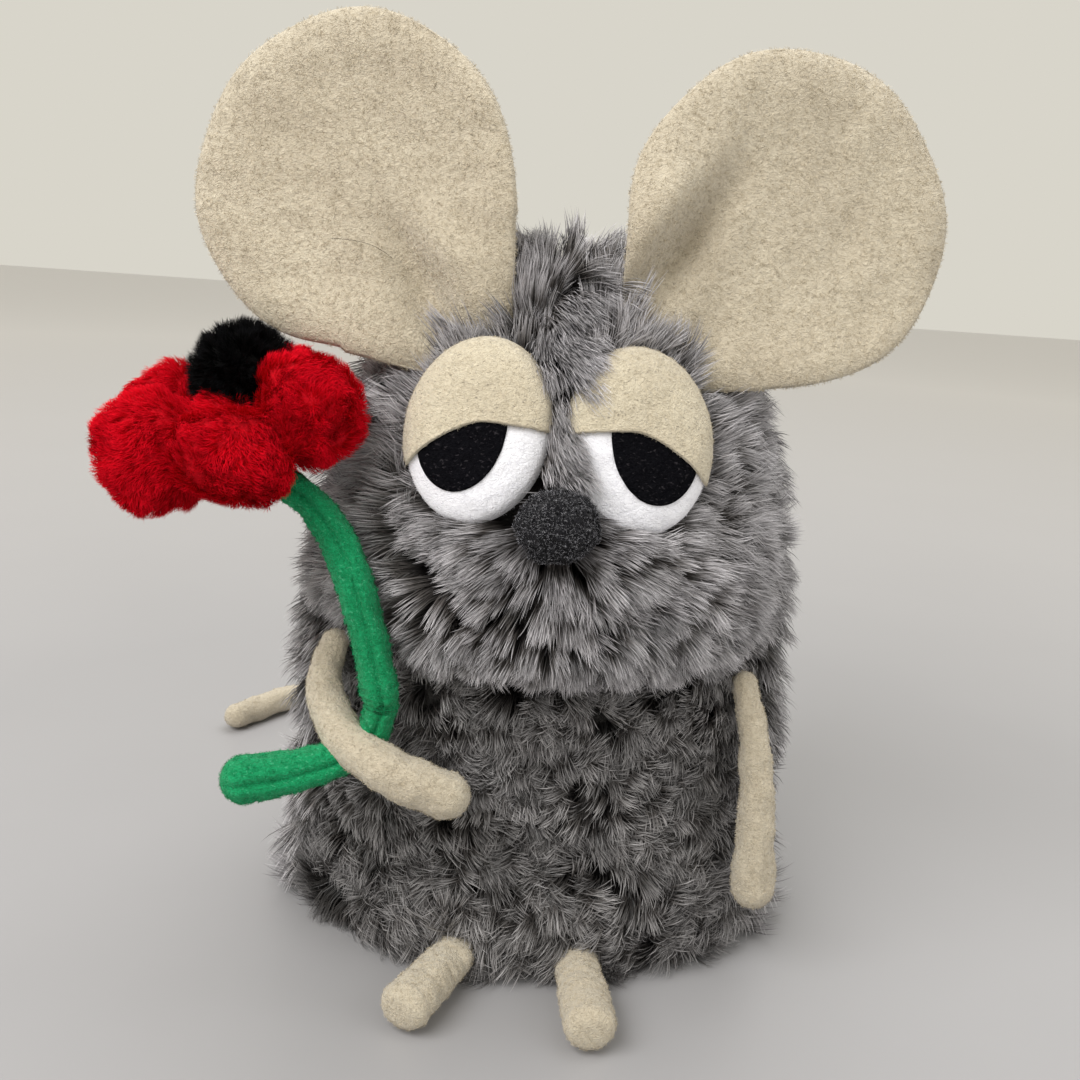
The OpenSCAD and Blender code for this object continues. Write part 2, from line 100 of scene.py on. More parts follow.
def turn(x: float = 0.0, y: float = 0.0, z: float = 0.0) -> Array:
    """Rotation matrix about X, then Y, then Z.

    Args:
        x: degrees about X.
        y: degrees about Y.
        z: degrees about Z.

    Returns:
        A 3 by 3 matrix.
    """
    cx, cy, cz = (math.cos(math.radians(a)) for a in (x, y, z))
    sx, sy, sz = (math.sin(math.radians(a)) for a in (x, y, z))
    rx = np.array([[1, 0, 0], [0, cx, -sx], [0, sx, cx]])
    ry = np.array([[cy, 0, sy], [0, 1, 0], [-sy, 0, cy]])
    rz = np.array([[cz, -sz, 0], [sz, cz, 0], [0, 0, 1]])
    return rz @ ry @ rx


def ripple(p: Array, scale: float, seed: int, waves: int = 14) -> Array:
    """Smooth repeatable noise from a sum of sine waves.

    Args:
        p: points, N by 3, in millimetres.
        scale: usual wavelength in millimetres.
        seed: picks the pattern.
        waves: how many sine waves are added.

    Returns:
        N values, nearly all between -1 and 1.
    """
    rng = np.random.default_rng(seed)
    k = unit(rng.normal(size=(waves, 3))) * (2 * math.pi / scale)
    k *= rng.uniform(0.6, 1.7, (waves, 1))
    phase = rng.uniform(0, 2 * math.pi, waves)
    return np.sin(p @ k.T + phase).sum(-1) * math.sqrt(2.0 / waves) * 0.6


def bump(x: Array, centre: float, width: float) -> Array:
    """Bell curve of height one.

    Args:
        x: where it is read.
        centre: where it peaks.
        width: how far from the peak it falls to about a third.

    Returns:
        Values from 0 to 1.
    """
    return np.exp(-(((x - centre) / width) ** 2))


def smooth_route(rows: list[tuple[float, ...]], steps: int) -> Array:
    """Smooth curve through rows of x, y, z and radius.

    Args:
        rows: the points it passes through.
        steps: points made between two rows.

    Returns:
        An array with four columns.
    """
    p = np.array(rows, float)
    last = len(p) - 1
    out = []
    for i in range(last):
        a, b, c, d = p[max(i - 1, 0)], p[i], p[i + 1], p[min(i + 2, last)]
        for t in np.arange(steps) / steps:
            out.append(
                0.5
                * (
                    2 * b
                    + (c - a) * t
                    + (2 * a - 5 * b + 4 * c - d) * t * t
                    + (3 * b - a - 3 * c + d) * t**3
                )
            )
    return np.array(out + [p[last]])


@dataclass
class Tube:
    """A stuffed felt tube with round ends, swept along a route.

    Attributes:
        rows: x, y, z and radius along the middle.
        steps: rings between two rows.
        sides: points round a ring.
        flat: height over width.
        dome: how far the round ends stand out, over their radius.
    """

    rows: list[tuple[float, ...]]
    steps: int = 14
    sides: int = 40
    flat: float = 1.0
    dome: float = 1.0
    route: Array = field(init=False)

    def __post_init__(self) -> None:
        """Works out the smooth route."""
        self.route = smooth_route(self.rows, self.steps)

    def grid(self) -> tuple[Array, Array, Array, Array]:
        """Rings of the tube.

        Returns:
            Points (rings by sides by 3), outward directions, distance along and angle round.
        """
        mid, rad = self.route[:, :3], self.route[:, 3]
        tangent = unit(np.gradient(mid, axis=0))
        caps = np.radians([84, 68, 50, 32, 15])
        mids = np.concatenate(
            [
                mid[0] - tangent[0] * rad[0] * self.dome * np.sin(caps)[:, None],
                mid,
                mid[-1] + tangent[-1] * rad[-1] * self.dome * np.sin(caps[::-1])[:, None],
            ]
        )
        rads = np.concatenate(
            [rad[0] * np.cos(caps) ** self.dome, rad, rad[-1] * np.cos(caps[::-1]) ** self.dome]
        )
        tans = np.concatenate(
            [np.repeat(tangent[:1], len(caps), 0), tangent, np.repeat(tangent[-1:], len(caps), 0)]
        )
        along = np.concatenate([[0], np.cumsum(np.linalg.norm(np.diff(mids, axis=0), axis=1))])
        side = unit(np.cross(np.array([0.0, 0.0, 1.0]) + 1e-3, tans))
        up = np.cross(tans, side)
        angle = np.arange(self.sides) * 2 * math.pi / self.sides
        out = (
            side[:, None] * np.cos(angle)[None, :, None]
            + up[:, None] * np.sin(angle)[None, :, None] * self.flat
        )
        points = mids[:, None] + out * rads[:, None, None]
        return points, unit(out), along, angle


def select_only(piece: bpy.types.Object) -> None:
    """Makes one object the only selected and the active one.

    Args:
        piece: the object.
    """
    bpy.ops.object.select_all(action="DESELECT")
    piece.select_set(True)
    bpy.context.view_layer.objects.active = piece


def vertex_arrays(piece: bpy.types.Object) -> tuple[Array, Array]:
    """Vertex places and normals.

    Args:
        piece: the mesh object.

    Returns:
        Places in millimetres, and normals.
    """
    co = np.empty(len(piece.data.vertices) * 3, np.float32)
    no = np.empty(len(co), np.float32)
    piece.data.vertices.foreach_get("co", co)
    piece.data.vertices.foreach_get("normal", no)
    return co.reshape(-1, 3) / MM, no.reshape(-1, 3)


def set_vertices(piece: bpy.types.Object, co: Array) -> None:
    """Moves a mesh's vertices.

    Args:
        piece: the mesh object.
        co: new places in millimetres.
    """
    piece.data.vertices.foreach_set("co", (co * MM).astype(np.float32).ravel())
    piece.data.update()


def mesh_from(name: str, points: Array, faces: list[tuple[int, ...]]) -> bpy.types.Object:
    """Makes a mesh object from points in millimetres.

    Args:
        name: the piece's name.
        points: N by 3.
        faces: vertex numbers of each face.

    Returns:
        The new object, smooth shaded, with its normals outwards.
    """
    mesh = bpy.data.meshes.new(name)
    mesh.from_pydata((np.asarray(points).reshape(-1, 3) * MM).tolist(), [], faces)
    piece = bpy.data.objects.new(name, mesh)
    bpy.context.collection.objects.link(piece)
    select_only(piece)
    bpy.ops.object.mode_set(mode="EDIT")
    bpy.ops.mesh.select_all(action="SELECT")
    bpy.ops.mesh.normals_make_consistent(inside=False)
    bpy.ops.object.mode_set(mode="OBJECT")
    mesh.polygons.foreach_set("use_smooth", [True] * len(mesh.polygons))
    return piece


def grid_faces(rows: int, cols: int, caps: bool = True) -> list[tuple[int, ...]]:
    """Faces of rings joined into a closed skin.

    Args:
        rows: number of rings.
        cols: points in a ring.
        caps: whether both ends are closed.

    Returns:
        Vertex numbers of each face.
    """
    faces = [
        (r * cols + c, r * cols + (c + 1) % cols, (r + 1) * cols + (c + 1) % cols, (r + 1) * cols + c)
        for r in range(rows - 1)
        for c in range(cols)
    ]
    if caps:
        faces.append(tuple(range(cols - 1, -1, -1)))
        faces.append(tuple((rows - 1) * cols + c for c in range(cols)))
    return faces


def scatter(piece: bpy.types.Object, count: int, rng: np.random.Generator) -> tuple[Array, Array]:
    """Random points spread evenly over a mesh.

    Args:
        piece: the mesh object, unturned at the origin.
        count: how many points.
        rng: seeded random numbers.

    Returns:
        Points in millimetres, and smooth normals there.
    """
    mesh = piece.data
    mesh.calc_loop_triangles()
    tris = np.empty(len(mesh.loop_triangles) * 3, np.int32)
    mesh.loop_triangles.foreach_get("vertices", tris)
    tris = tris.reshape(-1, 3)
    co, no = vertex_arrays(piece)
    a, b, c = co[tris[:, 0]], co[tris[:, 1]], co[tris[:, 2]]
    area = np.linalg.norm(np.cross(b - a, c - a), axis=1)
    pick = np.searchsorted(np.cumsum(area) / area.sum(), rng.random(count))
    pick = np.minimum(pick, len(tris) - 1)
    u, v = rng.random((2, count, 1))
    flip = (u + v) > 1
    u, v = np.where(flip, 1 - u, u), np.where(flip, 1 - v, v)
    w = 1 - u - v
    t = tris[pick]
    return (
        co[t[:, 0]] * w + co[t[:, 1]] * u + co[t[:, 2]] * v,
        unit(no[t[:, 0]] * w + no[t[:, 1]] * u + no[t[:, 2]] * v),
    )


# ---------------------------------------------------------------- strands


@dataclass(frozen=True)
class Pile:
    """How the fibres of one fur or felt surface stand.

    Attributes:
        length: of a fibre.
        width: of a fibre at its root.
        per_tuft: fibres in one tuft.
        spread: half width of a tuft across and along its lay.
        start: angle from upright at the root, in degrees.
        end: angle from upright at the tip.
        clump: share by which a tuft draws in at its tips.
        curl: sideways wander of a fibre.
        messy: how far tufts differ in direction.
        rings: bends along a fibre, counting its root and tip.
        lift: how far tufts differ in how upright they stand, in degrees.
        patchy: how far tufts differ in tone.
    """

    length: float
    width: float
    per_tuft: int = 40
    spread: tuple[float, float] = (2.2, 1.1)
    start: float = 25.0
    end: float = 70.0
    clump: float = 0.35
    curl: float = 0.05
    messy: float = 0.25
    rings: int = 4
    lift: float = 7.0
    patchy: float = 0.09


@dataclass
class Fleece:
    """Fibres grown in tufts, as thin tapered ribbons in one mesh."""

    pile: Pile
    seed: int
    keep_out: list[Callable[[Array], Array]] = field(default_factory=list)
    floor: float = 0.5

    def grow(self, name: str, roots: Array, normals: Array, lay: Array,
             scale: Array | float = 1.0, shade: Array | float = 0.0) -> bpy.types.Object:
        """Grows the tufts and makes their mesh.

        Args:
            name: the piece's name.
            roots: tuft centres.
            normals: surface normals there.
            lay: which way each tuft lies.
            scale: length factor of each tuft.
            shade: tone added to each tuft, from -0.5 to 0.5.

        Returns:
            The mesh object.
        """
        rng = np.random.default_rng(self.seed)
        pile, tufts, n = self.pile, len(roots), self.pile.per_tuft
        tangent = lay - normals * (lay * normals).sum(-1, keepdims=True)
        tangent = unit(unit(tangent) + rng.normal(size=(tufts, 3)) * pile.messy)
        tangent = unit(tangent - normals * (tangent * normals).sum(-1, keepdims=True))
        across = np.cross(tangent, normals)
        length = pile.length * np.broadcast_to(scale, tufts) * rng.uniform(0.85, 1.12, tufts)
        lean = rng.normal(0, pile.lift, tufts)
        tone = rng.normal(0, pile.patchy, tufts) + np.broadcast_to(shade, tufts)

        def each(v: Array) -> Array:
            """Repeats a tuft's value for each of its fibres."""
            return np.repeat(v, n, axis=0)

        total = tufts * n
        normals, tangent, across = each(normals), each(tangent), each(across)
        disc = np.sqrt(rng.random(total)) * np.exp(1j * rng.uniform(0, 2 * math.pi, total))
        off = across * (disc.real * pile.spread[0])[:, None]
        off = off + tangent * (disc.imag * pile.spread[1])[:, None]
        root = each(roots)
        size = each(length) * rng.uniform(0.86, 1.05, total)
        lean = each(lean) + rng.normal(0, 5, total)
        tone = 0.5 + each(tone) + rng.normal(0, 0.13, total)
        sway = across * rng.normal(0, pile.curl, total)[:, None]
        bend = rng.uniform(-1, 1, total)[:, None]
        steps = 1 - (1 - np.linspace(0, 1, pile.rings)) ** TAPER
        path = [root + off]
        flow = []
        for t0, t1 in zip(steps[:-1], steps[1:]):
            mid = (t0 + t1) / 2
            angle = np.radians(pile.start + (pile.end - pile.start) * mid + lean)[:, None]
            wave = sway * (1 + 2 * mid) + across * pile.curl * np.sin(7 * mid + 3 * bend)
            step = normals * np.cos(angle) + tangent * np.sin(angle) + wave
            flow.append(unit(step))
            grown = path[-1] + flow[-1] * (size * (t1 - t0))[:, None]
            path.append(grown - off * pile.clump * (t1 - t0))
        flow.append(flow[-1])
        path, flow = np.stack(path, 1), np.stack(flow, 1)
        path[..., 2] = np.maximum(path[..., 2], self.floor)
        good = np.ones(total, bool)
        for test in self.keep_out:
            good &= ~test(path.reshape(-1, 3)).reshape(total, -1)[:, 1:].any(1)
        path, flow, tone = path[good], flow[good], tone[good]
        roll = rng.uniform(-1.1, 1.1, len(path))[:, None]
        flat = across[good] * np.cos(roll) + normals[good] * np.sin(roll)
        return self._ribbons(name, path, flow, flat, np.clip(tone, 0.02, 0.98))

    def _ribbons(self, name: str, path: Array, flow: Array, flat: Array,
                 tone: Array) -> bpy.types.Object:
        """Turns fibre paths into ribbons that taper to a point.

        Args:
            name: the piece's name.
            path: fibres by rings by 3.
            flow: direction along each fibre.
            flat: direction across each fibre.
            tone: tone of each fibre from 0 to 1.

        Returns:
            The mesh object, with a map of tone and distance along the fibre.
        """
        count, rings = path.shape[:2]
        t = 1 - (1 - np.linspace(0, 1, rings)) ** TAPER
        half = self.pile.width / 2 * (1 - 0.35 * t[:-1])
        cross = unit(flat[:, None] - flow * (flat[:, None] * flow).sum(-1, keepdims=True))
        left = path[:, :-1] - cross[:, :-1] * half[None, :, None]
        right = path[:, :-1] + cross[:, :-1] * half[None, :, None]
        pairs = np.stack([left, right], 2).reshape(count, -1, 3)
        verts = np.concatenate([pairs, path[:, -1:]], 1)
        per = verts.shape[1]
        quads = [[2 * i, 2 * i + 1, 2 * i + 3, 2 * i + 2] for i in range(rings - 2)]
        corner = np.array(sum(quads, []) + [per - 3, per - 2, per - 1])
        starts = np.array([4 * i for i in range(rings - 1)])
        loops = (np.arange(count)[:, None] * per + corner).ravel()
        begin = (np.arange(count)[:, None] * len(corner) + starts).ravel()
        mesh = bpy.data.meshes.new(name)
        mesh.vertices.add(count * per)
        mesh.vertices.foreach_set("co", (verts * MM).astype(np.float32).ravel())
        mesh.loops.add(len(loops))
        mesh.loops.foreach_set("vertex_index", loops.astype(np.int32))
        mesh.polygons.add(len(begin))
        mesh.polygons.foreach_set("loop_start", begin.astype(np.int32))
        mesh.update(calc_edges=True)
        mesh.polygons.foreach_set("use_smooth", [True] * len(mesh.polygons))
        u = tone[:, None] + np.array([-0.004, 0.004] * (rings - 1) + [0.0])
        v = np.concatenate([np.repeat(t[:-1], 2), t[-1:]])
        uv = np.stack([u, np.broadcast_to(v, u.shape)], -1)[:, corner]
        mesh.uv_layers.new(name=STRAND_MAP).data.foreach_set("uv", uv.astype(np.float32).ravel())
        piece = bpy.data.objects.new(name, mesh)
        bpy.context.collection.objects.link(piece)
        return piece


# ---------------------------------------------------------------- materials


class Nodes:
    """Short way to add shader nodes to one tree."""

    def __init__(self, tree: bpy.types.NodeTree) -> None:
        """Keeps the tree.

        Args:
            tree: the node tree to add to.
        """
        self.tree = tree

    def add(self, kind: str, inputs: dict | None = None, **settings: object) -> bpy.types.Node:
        """Adds a node, sets its properties, and sets or links its inputs.

        Args:
            kind: the node type.
            inputs: values or output sockets by input name or number.
            settings: properties of the node.

        Returns:
            The node.
        """
        node = self.tree.nodes.new(kind)
        for key, value in settings.items():
            setattr(node, key, value)
        for key, value in (inputs or {}).items():
            if isinstance(value, bpy.types.NodeSocket):
                self.tree.links.new(value, node.inputs[key])
            else:
                node.inputs[key].default_value = value
        return node

    def ramp(self, fac: bpy.types.NodeSocket, stops: list[tuple[float, tuple]]) -> bpy.types.NodeSocket:
        """Colour ramp over a value.

        Args:
            fac: the value.
            stops: place and colour of each stop.

        Returns:
            The colour socket.
        """
        node = self.add("ShaderNodeValToRGB", {"Fac": fac})
        points = node.color_ramp.elements
        while len(points) < len(stops):
            points.new(0.5)
        for point, (place, colour) in zip(points, stops):
            point.position = place
            point.color = (*colour, 1)
        return node.outputs["Color"]

    def mix(self, fac: object, a: object, b: object, blend: str = "MIX") -> bpy.types.NodeSocket:
        """Mixes two colours.

        Args:
            fac: share of b.
            a: first colour.
            b: second colour.
            blend: how they are mixed.

        Returns:
            The colour socket.
        """
        node = self.add("ShaderNodeMix", data_type="RGBA", blend_type=blend)
        for index, value in ((0, fac), (6, a), (7, b)):
            if isinstance(value, bpy.types.NodeSocket):
                self.tree.links.new(value, node.inputs[index])
            else:
                node.inputs[index].default_value = value
        return node.outputs[2]

    def noise(self, vector: object, scale: float, detail: float = 3, rough: float = 0.5,
              distort: float = 0.0) -> bpy.types.NodeSocket:
        """Noise value.

        Args:
            vector: where it is read.
            scale: how fine it is.
            detail: number of finer layers.
            rough: how strong they are.
            distort: how far it is twisted.

        Returns:
            The value socket.
        """
        node = self.add("ShaderNodeTexNoise", {"Vector": vector, "Scale": scale, "Detail": detail,
                                               "Roughness": rough, "Distortion": distort})
        return node.outputs["Fac"]


def new_group(name: str, inputs: dict[str, float],
              outputs: dict[str, str]) -> tuple[bpy.types.NodeTree, Nodes]:
    """Starts a shader node group.

    Args:
        name: the group's name.
        inputs: float inputs and their defaults.
        outputs: socket types by output name.

    Returns:
        The group, and a node helper for it.
    """
    tree = bpy.data.node_groups.new(name, "ShaderNodeTree")
    for label, value in inputs.items():
        socket = tree.interface.new_socket(label, in_out="INPUT", socket_type="NodeSocketFloat")
        socket.default_value = value
    for label, kind in outputs.items():
        tree.interface.new_socket(label, in_out="OUTPUT", socket_type=kind)
    return tree, Nodes(tree)


def felt_group() -> bpy.types.NodeTree:
    """Felted cloth: matted fibres, dark flecks and soft worn patches.

    Returns:
        A group that gives a fibre value, a fleck mask, a patch value and a height.
    """
    tree, n = new_group(
        "felted_fibres",
        {"Fineness": 1.0},
        {"Fibre": "NodeSocketFloat", "Fleck": "NodeSocketFloat", "Patch": "NodeSocketFloat",
         "Height": "NodeSocketFloat"},
    )
    source = n.add("NodeGroupInput")
    where = n.add("ShaderNodeTexCoord").outputs["Object"]
    sized = n.add("ShaderNodeVectorMath", {0: where, 3: source.outputs["Fineness"]}, operation="SCALE")
    place = sized.outputs[0]
    streak_a = n.add("ShaderNodeMapping", {"Vector": place, "Rotation": (0.4, 0.7, 0.5),
                                           "Scale": (700, 380, 700)}).outputs[0]
    streak_b = n.add("ShaderNodeMapping", {"Vector": place, "Rotation": (1.1, -0.6, 2.1),
                                           "Scale": (400, 760, 700)}).outputs[0]
    fibre_a = n.noise(streak_a, 1.6, 3, 0.6, 1.2)
    fibre_b = n.noise(streak_b, 1.6, 3, 0.6, 1.2)
    fibre = n.add("ShaderNodeMath", {0: fibre_a, 1: fibre_b}, operation="ADD").outputs[0]
    fibre = n.add("ShaderNodeMapRange", {0: fibre, 1: 0.72, 2: 1.3}).outputs[0]
    speck = n.noise(streak_b, 2.3, 1, 0.4, 0.6)
    fleck = n.add("ShaderNodeMapRange", {0: speck, 1: 0.63, 2: 0.74}).outputs[0]
    patch = n.noise(place, 38, 3, 0.55)
    patch = n.add("ShaderNodeMapRange", {0: patch, 1: 0.33, 2: 0.68}).outputs[0]
    lumps = n.noise(place, 420, 2, 0.5)
    height = n.add("ShaderNodeMath", {0: fibre, 1: lumps}, operation="ADD").outputs[0]
    n.add("NodeGroupOutput", {"Fibre": fibre, "Fleck": fleck, "Patch": patch, "Height": height})
    return tree


def wear_group() -> bpy.types.NodeTree:
    """Machined or moulded surface: fine brushed lines and soft handling marks.

    Returns:
        A group that gives a line value, a smudge value and a height.
    """
    tree, n = new_group(
        "handled_surface",
        {"Fineness": 1.0},
        {"Line": "NodeSocketFloat", "Smudge": "NodeSocketFloat", "Height": "NodeSocketFloat"},
    )
    source = n.add("NodeGroupInput")
    where = n.add("ShaderNodeTexCoord").outputs["Object"]
    sized = n.add("ShaderNodeVectorMath", {0: where, 3: source.outputs["Fineness"]}, operation="SCALE")
    place = sized.outputs[0]
    streak = n.add("ShaderNodeMapping", {"Vector": place, "Scale": (300, 300, 6000)}).outputs[0]
    line = n.noise(streak, 1.0, 2, 0.5)
    smudge = n.noise(place, 120, 4, 0.6, 0.4)
    smudge = n.add("ShaderNodeMapRange", {0: smudge, 1: 0.35, 2: 0.7}).outputs[0]
    height = n.add("ShaderNodeMath", {0: line, 1: smudge}, operation="ADD").outputs[0]
    n.add("NodeGroupOutput", {"Line": line, "Smudge": smudge, "Height": height})
    return tree


@dataclass(frozen=True)
class FurFinish:
    """Fibres that go from a dark root to a pale tip; the dark root is painted shade from between the
    tufts.

    Attributes:
        name: the material's name.
        root: colour at the root, darkened as painted shade from between the tufts.
        middle: colour half way.
        tip: colour at the tip.
        roughness: of a fibre.
        low: brightness of the darkest fibres.
        high: brightness of the palest fibres.
        gloss: strength of the highlight.
    """

    name: str
    root: tuple[float, float, float]
    middle: tuple[float, float, float]
    tip: tuple[float, float, float]
    roughness: float = 0.5
    low: float = 0.35
    high: float = 1.65
    gloss: float = 0.12

    def build(self) -> bpy.types.Material:
        """Makes the material.

        Returns:
            The new material.
        """
        mat = bpy.data.materials.new(self.name)
        mat.use_nodes = True
        n = Nodes(mat.node_tree)
        shader = mat.node_tree.nodes["Principled BSDF"]
        uv = n.add("ShaderNodeUVMap", uv_map=STRAND_MAP).outputs[0]
        split = n.add("ShaderNodeSeparateXYZ", {0: uv})
        # Painted shade: the dark root colour holds up to 0.22 along each fibre, then lightens towards the
        # tip.
        along = n.ramp(split.outputs["Y"], [(0.22, self.root), (0.62, self.middle), (1.0, self.tip)])
        level = n.add("ShaderNodeMapRange", {0: split.outputs["X"], 3: self.low, 4: self.high})
        grey = n.add("ShaderNodeCombineColor", {0: level.outputs[0], 1: level.outputs[0],
                                                2: level.outputs[0]}).outputs[0]
        mat.node_tree.links.new(n.mix(1.0, along, grey, "MULTIPLY"), shader.inputs["Base Color"])
        shader.inputs["Roughness"].default_value = self.roughness
        shader.inputs["Specular IOR Level"].default_value = self.gloss
        return mat


@dataclass(frozen=True)
class FeltFinish:
    """Felt or napped velour.

    Attributes:
        name: the material's name.
        base: main colour.
        pale: colour of raised fibres.
        fleck: colour of stray dark fibres.
        soil: colour of worn patches.
        depth: height of the nap in metres.
        sheen: soft light at grazing angles.
        flecks: how strongly stray fibres show.
        gloss: strength of the highlight.
    """

    name: str
    base: tuple[float, float, float]
    pale: tuple[float, float, float]
    fleck: tuple[float, float, float]
    soil: tuple[float, float, float]
    depth: float = 0.0006
    sheen: float = 0.35
    flecks: float = 0.55
    gloss: float = 0.12

    def build(self, group: bpy.types.NodeTree) -> bpy.types.Material:
        """Makes the material.

        Args:
            group: the shared felted fibre group.

        Returns:
            The new material.
        """
        mat = bpy.data.materials.new(self.name)
        mat.use_nodes = True
        n = Nodes(mat.node_tree)
        shader = mat.node_tree.nodes["Principled BSDF"]
        felt = n.add("ShaderNodeGroup", node_tree=group)
        colour = n.mix(felt.outputs["Fibre"], (*self.base, 1), (*self.pale, 1))
        soiled = n.add("ShaderNodeMath", {0: felt.outputs["Patch"], 1: 0.45}, operation="MULTIPLY")
        colour = n.mix(soiled.outputs[0], colour, (*self.soil, 1))
        stray = n.add("ShaderNodeMath", {0: felt.outputs["Fleck"], 1: self.flecks}, operation="MULTIPLY")
        colour = n.mix(stray.outputs[0], colour, (*self.fleck, 1))
        raised = n.add("ShaderNodeBump", {"Strength": 0.7, "Distance": self.depth,
                                          "Height": felt.outputs["Height"]}).outputs[0]
        rough = n.add("ShaderNodeMapRange", {0: felt.outputs["Fibre"], 3: 0.97, 4: 0.86}).outputs[0]
        links = mat.node_tree.links
        links.new(colour, shader.inputs["Base Color"])
        links.new(raised, shader.inputs["Normal"])
        links.new(rough, shader.inputs["Roughness"])
        shader.inputs["Specular IOR Level"].default_value = self.gloss
        shader.inputs["Sheen Weight"].default_value = self.sheen
        shader.inputs["Sheen Roughness"].default_value = 0.6
        return mat


@dataclass(frozen=True)
class HardFinish:
    """Metal or moulded plastic.

    Attributes:
        name: the material's name.
        base: main colour.
        worn: colour of smudges or tarnish.
        metal: 1 for metal, 0 for plastic.
        rough: roughness of the cleanest and the most smudged places.
        depth: height of the brushed lines in metres.
    """

    name: str
    base: tuple[float, float, float]
    worn: tuple[float, float, float]
    metal: float
    rough: tuple[float, float]
    depth: float = 0.00002

    def build(self, group: bpy.types.NodeTree) -> bpy.types.Material:
        """Makes the material.

        Args:
            group: the shared handled surface group.

        Returns:
            The new material.
        """
        mat = bpy.data.materials.new(self.name)
        mat.use_nodes = True
        n = Nodes(mat.node_tree)
        shader = mat.node_tree.nodes["Principled BSDF"]
        wear = n.add("ShaderNodeGroup", node_tree=group)
        colour = n.mix(wear.outputs["Smudge"], (*self.base, 1), (*self.worn, 1))
        rough = n.add("ShaderNodeMapRange", {0: wear.outputs["Smudge"], 3: self.rough[0],
                                             4: self.rough[1]}).outputs[0]
        raised = n.add("ShaderNodeBump", {"Strength": 0.4, "Distance": self.depth,
                                          "Height": wear.outputs["Height"]}).outputs[0]
        links = mat.node_tree.links
        links.new(colour, shader.inputs["Base Color"])
        links.new(rough, shader.inputs["Roughness"])
        links.new(raised, shader.inputs["Normal"])
        shader.inputs["Metallic"].default_value = self.metal
        return mat


